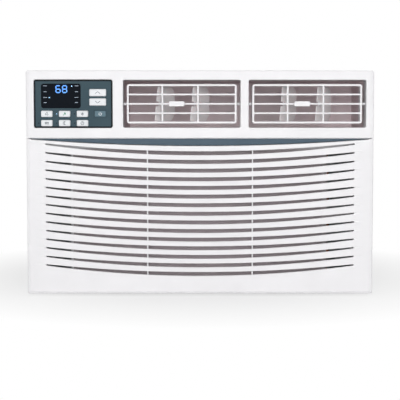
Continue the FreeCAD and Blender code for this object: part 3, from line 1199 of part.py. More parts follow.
def pipe(name, points, radius):
    """A tube of straight runs joined by tangent arcs, each as large as its two runs allow."""
    edges, start = [], points[0]
    for before, corner, after in zip(points, points[1:], points[2:]):
        arriving, leaving = (corner - before).normalize(), (after - corner).normalize()
        turn = arriving.getAngle(leaving)
        reach = 0.45 * min((corner - before).Length, (after - corner).Length)
        bend = reach / math.tan(turn / 2)
        first, last = corner - arriving * reach, corner + leaving * reach
        inward = (leaving - arriving).normalize()
        middle = corner + inward * (bend / math.cos(turn / 2) - bend)
        edges.append(Part.LineSegment(start, first).toShape())
        edges.append(Part.Arc(first, middle, last).toShape())
        start = last
    edges.append(Part.LineSegment(start, points[-1]).toShape())
    path = Part.Wire(edges)
    section = Part.Wire(Part.makeCircle(radius, points[0], points[1] - points[0]))
    tube = doc.addObject("Part::Feature", name)
    tube.Shape = path.makePipeShell([section], True, True)
    tube.Placement = Placement()
    if abs(tube.Shape.Volume / (math.pi * radius ** 2 * path.Length) - 1) > 0.01:
        raise RuntimeError(f"{name} has the wrong volume")
    return node(name, tube)


def spot(x, depth, z):
    """A point from three expressions."""
    return Vector(value(x), value(behind(depth)), value(z))


accu_top = f"({ACCU_LOW} + accu_height)"
riser_depth = f"({COMP_DEPTH} - 4*pipe_radius)"
line_top = f"({COMP_TOP} + 8*pipe_radius)"
pipe("suction_pipe", [
    spot("-evap_half - end_plate", "evap_front + evap_depth/2", SUCTION_Z),
    spot(SUCTION_X, "evap_front + evap_depth/2", SUCTION_Z),
    spot(SUCTION_X, riser_depth, SUCTION_Z),
    spot(SUCTION_X, riser_depth, line_top),
    spot(ACCU_X, COMP_DEPTH, line_top),
    spot(ACCU_X, COMP_DEPTH, accu_top),
], value("pipe_radius"))
pipe("discharge_pipe", [
    spot(COMP_X, COMP_DEPTH, COMP_TOP),
    spot(COMP_X, COMP_DEPTH, f"{COMP_TOP} + 12*pipe_radius"),
    spot(f"{COND_HALF} - 6*pipe_radius", f"{COMP_DEPTH} + comp_radius", f"{COMP_TOP} + 12*pipe_radius"),
    spot(f"{COND_HALF} + 4*pipe_radius", f"{COND_FRONT} - comp_radius", f"{COMP_TOP} + 9*pipe_radius"),
    spot(f"{COND_HALF} + 4*pipe_radius", f"{COND_FRONT} + cond_depth/2", f"{COND_LOW} + 6*bend_pitch"),
    spot(f"{COND_HALF} + end_plate", f"{COND_FRONT} + cond_depth/2", f"{COND_LOW} + 6*bend_pitch"),
], value("pipe_radius"))


# ---- Check and write every sub-part ----

doc.recompute()
for item in doc.Objects:
    if "Invalid" in item.State or "Error" in item.State:
        raise RuntimeError(f"{item.Label} failed: {item.State}")
for item in nodes:
    if item.Shape.isNull() or not item.Shape.isValid():
        raise RuntimeError(f"{item.Label} has no valid shape")

os.makedirs("parts", exist_ok=True)
for item in nodes:
    item.Shape.exportStep(f"parts/{item.Label}.step")
print(f"{len(nodes)} sub-parts")
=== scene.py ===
"""The looks of a window air conditioner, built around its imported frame.

The file follows the unit as it is put together, from the studio to the front mouldings, the controls,
the outlets, the grille and its filter, the steel cabinet and what the cabinet holds.
"""
import json
import math

import bmesh
import bpy
import numpy as np
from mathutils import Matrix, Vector
from mathutils.geometry import tessellate_polygon

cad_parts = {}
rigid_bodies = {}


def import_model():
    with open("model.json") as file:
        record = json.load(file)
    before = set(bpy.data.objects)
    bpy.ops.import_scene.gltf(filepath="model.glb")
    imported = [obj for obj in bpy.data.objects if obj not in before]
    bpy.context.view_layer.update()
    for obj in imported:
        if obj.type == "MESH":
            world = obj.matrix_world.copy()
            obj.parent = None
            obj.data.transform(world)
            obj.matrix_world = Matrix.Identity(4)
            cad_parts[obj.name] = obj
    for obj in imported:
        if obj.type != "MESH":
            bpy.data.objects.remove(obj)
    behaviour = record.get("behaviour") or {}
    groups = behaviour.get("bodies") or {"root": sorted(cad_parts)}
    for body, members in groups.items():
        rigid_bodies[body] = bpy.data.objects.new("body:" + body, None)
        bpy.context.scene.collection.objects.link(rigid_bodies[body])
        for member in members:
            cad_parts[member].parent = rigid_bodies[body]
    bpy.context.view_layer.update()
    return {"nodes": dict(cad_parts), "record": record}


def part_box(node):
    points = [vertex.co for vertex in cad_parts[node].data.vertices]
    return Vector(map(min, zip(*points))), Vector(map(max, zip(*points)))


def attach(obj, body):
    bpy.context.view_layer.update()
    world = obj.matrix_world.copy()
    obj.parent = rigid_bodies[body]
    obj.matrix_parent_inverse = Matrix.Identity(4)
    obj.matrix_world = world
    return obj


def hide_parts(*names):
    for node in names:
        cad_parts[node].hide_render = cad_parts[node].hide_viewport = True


for leftover in list(bpy.data.objects):
    bpy.data.objects.remove(leftover)
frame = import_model()
nodes = frame["nodes"]
scene = bpy.context.scene
MM = 0.001

# ---- Studio ----
# A camera a little above the middle of the front, a pale floor that fades to white away from the unit, and
# four large soft lamps, one of them behind. The world lights the shadow side, and shows as white behind
# the unit.
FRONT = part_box("front_bezel")[0].y
AIM_HEIGHT = 167.4 * MM
VIEW_WIDTH = 693 * MM
VIEW_DISTANCE = 2.0
VIEW_RISE = math.radians(4.0)
SENSOR = 36.0
FLOOR_SIZE = 14.0
WORLD_SHADE = 0.34
KEY_POWER = 13.0
FILL_POWER = 5.0
FRONT_POWER = 60.0
BACK_POWER = 22.0


def aimed(obj, place, target):
    """Puts a lamp or camera at a place, with its -Z axis along the line to the target."""
    obj.location = place
    obj.rotation_euler = (Vector(target) - Vector(place)).to_track_quat("-Z", "Y").to_euler()
    scene.collection.objects.link(obj)


target = (0, FRONT, AIM_HEIGHT)
camera_data = bpy.data.cameras.new("camera")
camera_data.sensor_width = SENSOR
camera_data.lens = SENSOR * VIEW_DISTANCE / VIEW_WIDTH
camera_data.clip_end = 50
camera = bpy.data.objects.new("camera", camera_data)
aimed(camera, (0, FRONT - VIEW_DISTANCE * math.cos(VIEW_RISE),
               AIM_HEIGHT + VIEW_DISTANCE * math.sin(VIEW_RISE)), target)
scene.camera = camera
scene.view_settings.view_transform = "Standard"


def soft_lamp(name, place, size, power, mirrored=True):
    """A square area lamp aimed at the front; one that isn't mirrored shows in no gloss."""
    lamp = bpy.data.lights.new(name, "AREA")
    lamp.size = size
    lamp.energy = power
    stand = bpy.data.objects.new(name, lamp)
    stand.visible_glossy = mirrored
    aimed(stand, place, target)


soft_lamp("key_lamp", (-1.6, FRONT - 2.2, 2.3), 1.6, KEY_POWER)
soft_lamp("fill_lamp", (2.2, FRONT - 1.8, 1.4), 1.8, FILL_POWER)
soft_lamp("front_lamp", (0, FRONT - 3.0, 0.75), 1.4, FRONT_POWER, mirrored=False)
soft_lamp("back_lamp", (1.3, 2.4, 1.9), 1.6, BACK_POWER)


def wire(tree, kind, **values):
    """Adds one node to a tree, with its properties set by name."""
    added = tree.nodes.new(kind)
    for key, value in values.items():
        setattr(added, key, value)
    return added


def seen_straight(tree):
    """1 for rays from the camera, a mirror or clear glass, 0 for light that falls on the unit."""
    path = wire(tree, "ShaderNodeLightPath")
    total = path.outputs["Is Camera Ray"]
    for ray in ("Is Glossy Ray", "Is Transmission Ray"):
        larger = wire(tree, "ShaderNodeMath", operation="MAXIMUM")
        tree.links.new(total, larger.inputs[0])
        tree.links.new(path.outputs[ray], larger.inputs[1])
        total = larger.outputs[0]
    return total


world = bpy.data.worlds.new("studio")
world.use_nodes = True
scene.world = world
background = world.node_tree.nodes["Background"]
background.inputs["Color"].default_value = (1, 1, 1, 1)
brightness = wire(world.node_tree, "ShaderNodeMapRange")
world.node_tree.links.new(seen_straight(world.node_tree), brightness.inputs["Value"])
brightness.inputs["To Min"].default_value = WORLD_SHADE
brightness.inputs["To Max"].default_value = 1.0
world.node_tree.links.new(brightness.outputs["Result"], background.inputs["Strength"])

floor_material = bpy.data.materials.new("pale_floor")
floor_material.use_nodes = True
floor_tree = floor_material.node_tree
floor_tree.nodes.clear()
floor_paint = wire(floor_tree, "ShaderNodeBsdfDiffuse")
floor_paint.inputs["Color"].default_value = (0.66, 0.66, 0.665, 1)
floor_glow = wire(floor_tree, "ShaderNodeEmission")
floor_place = wire(floor_tree, "ShaderNodeTexCoord")
floor_reach = wire(floor_tree, "ShaderNodeVectorMath", operation="LENGTH")
floor_tree.links.new(floor_place.outputs["Object"], floor_reach.inputs[0])
floor_fade = wire(floor_tree, "ShaderNodeMapRange")
for socket, number in (("From Min", 0.30), ("From Max", 0.60), ("To Min", 0.68), ("To Max", 1.0)):
    floor_fade.inputs[socket].default_value = number
floor_tree.links.new(floor_reach.outputs["Value"], floor_fade.inputs["Value"])
floor_seen = wire(floor_tree, "ShaderNodeMath", operation="MULTIPLY")
floor_tree.links.new(floor_fade.outputs["Result"], floor_seen.inputs[0])
floor_tree.links.new(seen_straight(floor_tree), floor_seen.inputs[1])
floor_mix = wire(floor_tree, "ShaderNodeMixShader")
floor_tree.links.new(floor_seen.outputs[0], floor_mix.inputs["Fac"])
floor_tree.links.new(floor_paint.outputs[0], floor_mix.inputs[1])
floor_tree.links.new(floor_glow.outputs[0], floor_mix.inputs[2])
floor_out = wire(floor_tree, "ShaderNodeOutputMaterial")
floor_tree.links.new(floor_mix.outputs[0], floor_out.inputs["Surface"])
floor_mesh = bpy.data.meshes.new("floor")
half_floor = FLOOR_SIZE / 2
floor_mesh.from_pydata([(-half_floor, -half_floor, 0), (half_floor, -half_floor, 0),
                        (half_floor, half_floor, 0), (-half_floor, half_floor, 0)], [], [(0, 1, 2, 3)])
floor_mesh.materials.append(floor_material)
floor = bpy.data.objects.new("floor", floor_mesh)
scene.collection.objects.link(floor)

# ---- Front bezel ----
# The upper moulding, injection moulded in white high-impact polystyrene: a flat face with chamfered sides,
# a rounded opening for the control panel, two outlet throats, and a bed for the blue strip under its seam.
BEZEL_LOW, BEZEL_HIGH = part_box("front_bezel")
PANEL_LOW, PANEL_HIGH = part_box("control_panel")
STRIP_LOW, STRIP_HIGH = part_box("accent_strip")
SEAM = STRIP_HIGH.z + 1.0 * MM
MOULDING = 2.5 * MM
LIP_STEPS = 5
CORNER = 4 * MM
CHAMFER = ((6.0, 0.0), (5.4, 0.05), (1.6, 1.0), (0.9, 1.3), (0.4, 1.9), (0.1, 2.7), (0.0, 3.6))
CHAMFER_TOP = 0.5
CHAMFER_SEAM = 0.12
SEAM_WALL = 34 * MM
OUTLET_SIDE = 6.25 * MM
OUTLET_HIGH = 7.0 * MM
OUTLET_CORNER = 3.0 * MM
OUTLET_LIP = 1.4 * MM
THROAT = 34 * MM
PANEL_CORNER = 3.6 * MM
WHITE = (0.80, 0.793, 0.807)


def unit(vectors):
    """Each row divided by its length."""
    return vectors / np.linalg.norm(vectors, axis=-1, keepdims=True)


def rounded(corners, steps=LIP_STEPS):
    """An outline through (x, z, radius) corners, counter-clockwise from the front.

    At each corner an arc touches both sides: its centre lies on the bisector at radius / cos(half the
    turn), and its ends at radius * tan(half the turn) from the corner.
    """
    arcs = []
    for before, here, after in zip(corners[-1:] + corners[:-1], corners, corners[1:] + corners[:1]):
        corner, radius = np.array(here[:2]), here[2]
        back, ahead = unit(np.array(before[:2]) - corner), unit(np.array(after[:2]) - corner)
        if radius == 0:
            arcs.append(corner[None])
            continue
        half_turn = (math.pi - math.acos(float(np.clip(back @ ahead, -1, 1)))) / 2
        centre = corner + unit(back + ahead) * radius / math.cos(half_turn)
        start, end = (corner + side * radius * math.tan(half_turn) - centre for side in (back, ahead))
        first, last = math.atan2(start[1], start[0]), math.atan2(end[1], end[0])
        sweep = (last - first + math.pi) % (2 * math.pi) - math.pi
        angles = first + sweep * np.linspace(0, 1, steps + 1)
        arcs.append(centre + radius * np.column_stack([np.cos(angles), np.sin(angles)]))
    return np.vstack(arcs)


def rectangle(left, low, right, high, radius, low_radius=None, steps=LIP_STEPS):
    """A rectangle with round corners; the lower pair may have a radius of its own."""
    low_radius = radius if low_radius is None else low_radius
    return rounded([(left, low, low_radius), (right, low, low_radius),
                    (right, high, radius), (left, high, radius)], steps)


def inset(loop, reach):
    """The loop moved inwards along its corner bisectors, by one reach or one for each point."""
    ahead = unit(np.roll(loop, -1, 0) - loop)
    normal = np.column_stack([-ahead[:, 1], ahead[:, 0]])
    before = np.roll(normal, 1, 0)
    bisector = (normal + before) / (1 + np.sum(normal * before, 1, keepdims=True))
    return loop + bisector * np.reshape(reach, (-1, 1))


class Skin:
    """Rings of points, the walls between them and the flat sheets that close them."""

    def __init__(self):
        self.points = []
        self.faces = []
        self.count = 0

    def add(self, points):
        """Takes rows of (x, y, z) and returns their numbers."""
        self.points.append(np.asarray(points, float))
        self.count += len(points)
        return np.arange(self.count - len(points), self.count)

    def ring(self, loop, depth):
        """A ring of (x, z) rows at a depth behind the front face, one for all or one for each."""
        return self.add(np.column_stack([loop[:, 0], FRONT + depth * np.ones(len(loop)), loop[:, 1]]))

    def chain(self, rings, closed=False):
        """Quads from each ring to the next one."""
        for near, far in zip(rings, rings[1:] + rings[:1] if closed else rings[1:]):
            self.faces.append(np.column_stack([near, far, np.roll(far, -1), np.roll(near, -1)]))

    def sheet(self, rings):
        """Triangles that fill the first ring and leave the other rings open as holes."""
        points = np.vstack(self.points)
        outlines = [[Vector((x, z, 0)) for x, z in points[ring][:, [0, 2]].tolist()] for ring in rings]
        triangles = np.array(tessellate_polygon(outlines))
        self.faces.append(np.concatenate(rings)[triangles])

    def fan(self, ring, centre):
        """Triangles from a ring to one point, which closes an end."""
        middle = np.full(len(ring), self.add([centre])[0])
        self.faces.append(np.column_stack([ring, np.roll(ring, -1), middle]))

    def lip(self, loop, radius, face=0.0, side=1, steps=LIP_STEPS):
        """Rings of a quarter round on an edge: inset r(1 - sin a), depth r(1 - cos a)."""
        return [self.ring(inset(loop, side * radius * (1 - math.sin(a))), face + radius * (1 - math.cos(a)))
                for a in np.linspace(0, math.pi / 2, steps + 1)]

    def slab(self, outline, holes, face, back, radius, hole_radius=0.3 * MM, back_radius=0.2 * MM):
        """A plate whose front edges, and those of its holes, are rounded."""
        rims = [self.lip(outline, radius, face)]
        rims += [self.lip(hole, hole_radius, face, -1) for hole in holes]
        for rim, loop, side in zip(rims, [outline, *holes], [1] + [-1] * len(holes)):
            rim.append(self.ring(loop, back - back_radius))
            rim.append(self.ring(inset(loop, side * back_radius), back))
            self.chain(rim)
        self.sheet([rim[0] for rim in rims])
        self.sheet([rim[-1] for rim in rims])

    def rod(self, start, end, radius, sides=14, soft=0.35):
        """A round bar with softened ends, given one radius or one for each end."""
        start, end = np.array(start, float), np.array(end, float)
        along = unit(end - start)
        across = unit(np.cross(along, (0, 0, 1) if abs(along[2]) < 0.9 else (1, 0, 0)))
        up = np.cross(along, across)
        radii = np.ones(2) * radius
        angles = np.linspace(0, 2 * math.pi, sides, endpoint=False)[:, None]
        around = np.cos(angles) * across + np.sin(angles) * up
        rings = [
            self.add(start + around * radii[0] * (1 - soft)),
            self.add(start + along * radii[0] * soft + around * radii[0]),
            self.add(end - along * radii[1] * soft + around * radii[1]),
            self.add(end + around * radii[1] * (1 - soft)),
        ]
        self.chain(rings)
        self.fan(rings[0], start)
        self.fan(rings[-1], end)

    def block(self, low, high, soft=0.4 * MM):
        """A block between two corners, with its edges parallel to Y and its front edges softened."""
        self.slab(rectangle(low[0], low[2], high[0], high[2], soft, steps=2), [], low[1] - FRONT,
                  high[1] - FRONT, soft)


def piece(name, skin, material, body, replaced=(), sharp=40):
    """Makes the skin an object that rides on a body, with flat faces kept flat between round edges."""
    mesh = bpy.data.meshes.new(name)
    faces = [face for block in skin.faces for face in block.tolist()]
    mesh.from_pydata(np.vstack(skin.points).tolist(), [], faces)
    shell = bmesh.new()
    shell.from_mesh(mesh)
    bmesh.ops.recalc_face_normals(shell, faces=shell.faces)
    shell.to_mesh(mesh)
    shell.free()
    mesh.shade_smooth()
    mesh.set_sharp_from_angle(angle=math.radians(sharp))
    mesh.materials.append(material)
    obj = bpy.data.objects.new(name, mesh)
    scene.collection.objects.link(obj)
    even = obj.modifiers.new("even_normals", "WEIGHTED_NORMAL")
    even.keep_sharp = True
    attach(obj, body)
    if replaced:
        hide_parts(*replaced)
    return obj


def noise(tree, size, detail=3.0):
    """A noise of a real size, in metres, on the object's own coordinates."""
    place = wire(tree, "ShaderNodeTexCoord")
    grain = wire(tree, "ShaderNodeTexNoise")
    grain.inputs["Scale"].default_value = 1 / size
    grain.inputs["Detail"].default_value = detail
    tree.links.new(place.outputs["Object"], grain.inputs["Vector"])
    return grain.outputs["Fac"]


def between(tree, factor, low, high):
    """A number that runs from low to high over the middle of a noise."""
    span = wire(tree, "ShaderNodeMapRange")
    span.inputs["From Min"].default_value = 0.3
    span.inputs["From Max"].default_value = 0.7
    span.inputs["To Min"].default_value = low
    span.inputs["To Max"].default_value = high
    tree.links.new(factor, span.inputs["Value"])
    return span.outputs["Result"]


def tinted(tree, factor, first, second):
    """A colour between two colours, by a factor from 0 to 1."""
    mix = wire(tree, "ShaderNodeMix", data_type="RGBA")
    mix.inputs["A"].default_value = (*first, 1)
    mix.inputs["B"].default_value = (*second, 1)
    tree.links.new(factor, mix.inputs["Factor"])
    return mix.outputs["Result"]


def bumped(tree, height, depth, normal=None):
    """A bump of a real depth, in metres, laid over an earlier one."""
    bump = wire(tree, "ShaderNodeBump")
    bump.inputs["Distance"].default_value = depth
    tree.links.new(height, bump.inputs["Height"])
    if normal:
        tree.links.new(normal, bump.inputs["Normal"])
    return bump.outputs["Normal"]


def finish(name, colour, roughness, grain_size=0.9 * MM, grain_depth=0.012 * MM, shade=0.04,
           shade_size=45 * MM, rough_play=0.06, **sockets):
    """A principled material: slow shading in its colour and gloss, and a fine grain in its surface."""
    material = bpy.data.materials.new(name)
    material.use_nodes = True
    tree = material.node_tree
    shader = tree.nodes["Principled BSDF"]
    for socket, value in sockets.items():
        shader.inputs[socket.replace("_", " ")].default_value = value
    slow = noise(tree, shade_size)
    paler = tuple(min(1.0, part * (1 + shade / 2)) for part in colour)
    deeper = tuple(part * (1 - shade / 2) for part in colour)
    tree.links.new(tinted(tree, between(tree, slow, 0, 1), deeper, paler), shader.inputs["Base Color"])
    tree.links.new(between(tree, noise(tree, shade_size / 4), roughness - rough_play, roughness + rough_play),
                   shader.inputs["Roughness"])
    tree.links.new(bumped(tree, noise(tree, grain_size, 2.0), grain_depth), shader.inputs["Normal"])
    return material


white_moulding = finish("white_moulding", WHITE, 0.42)


def slot_x(place, half, dip):
    """How far a bowed edge hangs below its ends: dip * (1 - (x / half) squared)."""
    return dip * (1 - (place / half) ** 2)


def bezel_ring(reach):
    """The bezel's outline, inset by the reach at its sides and by a share of it at the top and seam."""
    return rectangle(BEZEL_LOW.x + reach, SEAM + CHAMFER_SEAM * reach, BEZEL_HIGH.x - reach,
                     BEZEL_HIGH.z - CHAMFER_TOP * reach, max(CORNER - reach * 0.6, 0.6 * MM), 0.3 * MM)


bezel = Skin()
outer = [bezel.ring(bezel_ring(reach * MM), depth * MM) for reach, depth in CHAMFER]
bezel_outline = bezel_ring(0)
bezel_inner = rectangle(BEZEL_LOW.x + MOULDING, SEAM + MOULDING, BEZEL_HIGH.x - MOULDING,
                        BEZEL_HIGH.z - MOULDING, CORNER - MOULDING, 0.3 * MM)
wall_back = np.where(bezel_outline[:, 1] < SEAM + MM, SEAM_WALL, BEZEL_HIGH.y - FRONT)
outer += [bezel.ring(bezel_outline, wall_back), bezel.ring(bezel_inner, wall_back),
          bezel.ring(bezel_inner, MOULDING + 1.2 * MM)]
bezel.chain(outer)
panel_hole = rectangle(PANEL_LOW.x - 0.35 * MM, PANEL_LOW.z - 0.35 * MM, PANEL_HIGH.x + 0.35 * MM,
                       PANEL_HIGH.z + 0.35 * MM, PANEL_CORNER)
panel_rim = bezel.lip(panel_hole, 0.8 * MM, side=-1) + [bezel.ring(panel_hole, MOULDING + 1.2 * MM)]
bezel.chain(panel_rim)
hole_rims = [panel_rim]
CASSETTE_HALF = 95 * MM
outlet_middles = {}
for hand in ("left", "right"):
    low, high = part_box(f"louver_frame_{hand}")
    middle = (low.x + high.x) / 2
    outlet_middles[hand] = middle
    throat = rectangle(middle - CASSETTE_HALF - OUTLET_SIDE, low.z - OUTLET_HIGH,
                       middle + CASSETTE_HALF + OUTLET_SIDE, high.z + OUTLET_HIGH, OUTLET_CORNER)
    rim = bezel.lip(throat, OUTLET_LIP, side=-1)
    rim += [bezel.ring(throat, THROAT), bezel.ring(inset(throat, -2 * MM), THROAT),
            bezel.ring(inset(throat, -2 * MM), MOULDING + 1.2 * MM)]
    bezel.chain(rim)
    hole_rims.append(rim)
bezel.sheet([outer[0]] + [rim[0] for rim in hole_rims])
bezel.sheet([outer[-1]] + [rim[-1] for rim in hole_rims])

STRIP_HALF = STRIP_HIGH.x
STRIP_END = 0.3 * MM
STRIP_DIP = STRIP_HIGH.z - STRIP_LOW.z - STRIP_END


def strip_loop(points=61):
    """The strip's outline: a level top edge over a lower edge that bows down between thin ends."""
    x = np.linspace(-STRIP_HALF, STRIP_HALF, points)
    lower = STRIP_HIGH.z - STRIP_END - slot_x(x, STRIP_HALF, STRIP_DIP)
    return np.vstack([np.column_stack([x, lower]), np.column_stack([x[::-1], 0 * x + STRIP_HIGH.z])])


bed = strip_loop()
bed[len(bed) // 2:, 1] = SEAM + 2 * MM
bezel.slab(bed, [], STRIP_HIGH.y - FRONT, STRIP_HIGH.y - FRONT + MOULDING, 0.05 * MM)
piece("front_bezel_moulding", bezel, white_moulding, "housing", ["front_bezel"])

# ---- Accent strip ----
# A thin strip of steel-blue lacquered plastic, clipped into the seam between the bezel and the grille. Its
# edges are rounded deeply, so they turn from the light and render darker.
STRIP_BLUE = (0.062, 0.094, 0.125)
strip = Skin()
strip_edge = strip_loop()
local_height = STRIP_END + slot_x(strip_edge[:, 0], STRIP_HALF, STRIP_DIP)
strip_radius = np.minimum(1.1 * MM, 0.35 * local_height)
strip_rim = strip.lip(strip_edge, strip_radius, STRIP_LOW.y - FRONT)
strip_rim.append(strip.ring(strip_edge, STRIP_HIGH.y - FRONT))
strip.chain(strip_rim)
strip.sheet([strip_rim[0]])
strip.sheet([strip_rim[-1]])
strip_lacquer = finish("strip_lacquer", STRIP_BLUE, 0.36, shade=0.12, Specular_IOR_Level=0.25,
                       Coat_Weight=0.1, Coat_Roughness=0.15)
piece("accent_strip_lacquered", strip, strip_lacquer, "housing", ["accent_strip"])

# ---- Control panel ----
# A slate-grey plate, screen printed and clear coated, with a black band painted along its edges as painted
# shade from the recess it sits in. It holds the display window and has an opening for each button, and
# sits a little behind the white face.
SLATE = (0.040, 0.070, 0.086)
# The width and colour of the painted shade along the panel's edges follow.
PANEL_EDGE_SHADE_WIDTH = 2.6 * MM
PANEL_EDGE_SHADE = (0.006, 0.008, 0.010)
KEY_NAMES = ("up", "down", "timer", "mode", "power", "energy_saver", "sleep", "fan_speed", "filter_check")
KEY_FLANGE = 0.8 * MM
KEY_GAP = 0.45 * MM
KEY_CORNER = 1.7 * MM
LENS_LOW, LENS_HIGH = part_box("display_lens")
key_boxes = {name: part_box(f"button_{name}") for name in KEY_NAMES}


def key_loop(name, grow=0.0):
    """The outline of a button's cap, which is its flange's outline less the flange."""
    low, high = key_boxes[name]
    edge = KEY_FLANGE - grow
    return rectangle(low.x + edge, low.z + edge, high.x - edge, high.z - edge, KEY_CORNER + grow)


def lens_loop(grow=0.0):
    """The outline of the display window."""
    return rectangle(LENS_LOW.x - grow, LENS_LOW.z - grow, LENS_HIGH.x + grow, LENS_HIGH.z + grow,
                     4 * MM + grow)


PANEL_FACE = PANEL_LOW.y - FRONT
PANEL_BACK = PANEL_HIGH.y - FRONT
panel = Skin()
panel_outline = rectangle(PANEL_LOW.x, PANEL_LOW.z, PANEL_HIGH.x, PANEL_HIGH.z, PANEL_CORNER)
panel.slab(panel_outline, [lens_loop(0.25 * MM)] + [key_loop(name, KEY_GAP) for name in KEY_NAMES],
           PANEL_FACE, PANEL_BACK, 0.5 * MM, 0.35 * MM)
slate = finish("slate_panel", SLATE, 0.42, shade=0.10, Specular_IOR_Level=0.2)
slate_tree = slate.node_tree
slate_shader = slate_tree.nodes["Principled BSDF"]


def edge_mask(tree, centre, half_size, width):
    """1 within a width of a box's edge and 0 further in: the nearest side's distance, compared."""
    place = wire(tree, "ShaderNodeTexCoord")
    split = wire(tree, "ShaderNodeSeparateXYZ")
    tree.links.new(place.outputs["Object"], split.inputs[0])
    masks = []
    for axis, middle, half in (("X", centre[0], half_size[0]), ("Z", centre[1], half_size[1])):
        shift = wire(tree, "ShaderNodeMath", operation="SUBTRACT")
        tree.links.new(split.outputs[axis], shift.inputs[0])
        shift.inputs[1].default_value = middle
        size = wire(tree, "ShaderNodeMath", operation="ABSOLUTE")
        tree.links.new(shift.outputs[0], size.inputs[0])
        beyond = wire(tree, "ShaderNodeMath", operation="GREATER_THAN")
        tree.links.new(size.outputs[0], beyond.inputs[0])
        beyond.inputs[1].default_value = half - width
        masks.append(beyond.outputs[0])
    either = wire(tree, "ShaderNodeMath", operation="MAXIMUM")
    tree.links.new(masks[0], either.inputs[0])
    tree.links.new(masks[1], either.inputs[1])
    return either.outputs[0]


# The black band along the plate's edges is painted shade, where the recess in the white face shadows the
# plate.
plain_slate = slate_shader.inputs["Base Color"].links[0].from_socket
edge_shaded = wire(slate_tree, "ShaderNodeMix", data_type="RGBA")
slate_tree.links.new(plain_slate, edge_shaded.inputs["A"])
edge_shaded.inputs["B"].default_value = (*PANEL_EDGE_SHADE, 1)
panel_middle = (PANEL_LOW + PANEL_HIGH) / 2
panel_half = (PANEL_HIGH - PANEL_LOW) / 2
slate_tree.links.new(edge_mask(slate_tree, (panel_middle.x, panel_middle.z), (panel_half.x, panel_half.z),
                               PANEL_EDGE_SHADE_WIDTH), edge_shaded.inputs["Factor"])
slate_tree.links.new(edge_shaded.outputs["Result"], slate_shader.inputs["Base Color"])
piece("control_panel_plate", panel, slate, "housing", ["control_panel"])

# ---- Display ----
# A smoked acrylic window over a light-emitting display: two seven-segment digits, a row of small status
# marks on each side, and lamps beside the buttons.
LENS_FACE = LENS_LOW.y - FRONT
GLOW_RAISE = 0.12 * MM
lens = Skin()
lens.slab(lens_loop(), [], LENS_FACE - 0.1 * MM, LENS_HIGH.y - FRONT, 0.6 * MM)
smoked = finish("smoked_window", (0.002, 0.004, 0.008), 0.12, grain_depth=0.001 * MM, shade=0.3,
                rough_play=0.03, Specular_IOR_Level=0.10)
piece("display_window", lens, smoked, "housing", ["display_lens"])


def glowing(name, colour, strength):
    """A lit mark: its colour, with an emission that is a little uneven, as a lamp behind it is."""
    material = finish(name, colour, 0.5, shade=0.2, shade_size=3 * MM)
    tree = material.node_tree
    shader = tree.nodes["Principled BSDF"]
    shader.inputs["Emission Color"].default_value = (*colour, 1)
    tree.links.new(between(tree, noise(tree, 2 * MM), strength * 0.8, strength),
                   shader.inputs["Emission Strength"])
    return material


DIGIT_WIDTH = 7.2 * MM
DIGIT_HEIGHT = 11.6 * MM
DIGIT_STEP = 11.2 * MM
SEGMENT = 1.9 * MM
DIGIT_DOWN = 9.2 * MM
LIT = {"6": "acdefg", "8": "abcdefg"}
segment_lines = {
    "a": ((0, 2), (1, 2)), "b": ((1, 1), (1, 2)), "c": ((1, 0), (1, 1)), "d": ((0, 0), (1, 0)),
    "e": ((0, 0), (0, 1)), "f": ((0, 1), (0, 2)), "g": ((0, 1), (1, 1)),
}


def segment_loop(start, end, width):
    """A segment: a bar along a line with both ends brought to a point."""
    along = unit(end - start)
    across = np.array((-along[1], along[0])) * width / 2
    tip = along * width / 2
    gap = along * 0.12 * width
    return np.array([start + gap, start + gap + tip - across, end - gap - tip - across, end - gap,
                     end - gap - tip + across, start + gap + tip + across])


digits = Skin()
lens_middle = (LENS_LOW + LENS_HIGH) / 2
digit_middle = np.array((lens_middle.x + 0.9 * MM, LENS_HIGH.z - DIGIT_DOWN))
for place, figure in ((-0.5, "6"), (0.5, "8")):
    corner = digit_middle + (place * DIGIT_STEP - DIGIT_WIDTH / 2, -DIGIT_HEIGHT / 2)
    scale = np.array((DIGIT_WIDTH, DIGIT_HEIGHT / 2))
    for letter in LIT[figure]:
        start, end = (corner + np.array(point) * scale for point in segment_lines[letter])
        digits.slab(segment_loop(start, end, SEGMENT), [], LENS_FACE - 0.1 * MM - GLOW_RAISE,
                    LENS_FACE + 0.3 * MM, 0.05 * MM)
piece("display_digits", digits, glowing("digit_glow", (0.10, 0.30, 0.80), 0.75), "housing")


def disc_loop(x, z, radius, sides=20):
    """A circle, or with few sides a diamond or a triangle."""
    angles = np.linspace(0, 2 * math.pi, sides, endpoint=False) + math.pi / 2
    return np.column_stack([x + radius * np.cos(angles), z + radius * np.sin(angles)])


STATUS_SIDE = 27.0 * MM
STATUS_ROWS = (3.6, 13.6, 23.4, 32.2)
status = Skin()
lamps = Skin()
for row, down in enumerate(STATUS_ROWS):
    for side in (-1, 1):
        x = lens_middle.x + side * STATUS_SIDE
        z = LENS_HIGH.z - down * MM
        half = (2.6 + 0.7 * ((row + side) % 2)) * MM
        status.slab(rectangle(x - half, z - 0.4 * MM, x + half, z + 0.4 * MM, 0.3 * MM, steps=2), [],
                    LENS_FACE - 0.1 * MM - GLOW_RAISE, LENS_FACE + 0.3 * MM, 0.05 * MM)
lamps.slab(disc_loop(lens_middle.x - 19.8 * MM, LENS_HIGH.z - 23.6 * MM, 0.9 * MM), [],
           LENS_FACE - 0.1 * MM - GLOW_RAISE, LENS_FACE + 0.3 * MM, 0.05 * MM)
lamps.slab(disc_loop(lens_middle.x + 18.8 * MM, LENS_HIGH.z - 3.9 * MM, 1.2 * MM, 4), [],
           LENS_FACE - 0.1 * MM - GLOW_RAISE, LENS_FACE + 0.3 * MM, 0.05 * MM)
LAMP_LEFT = 4.0 * MM
dim_lamps = Skin()
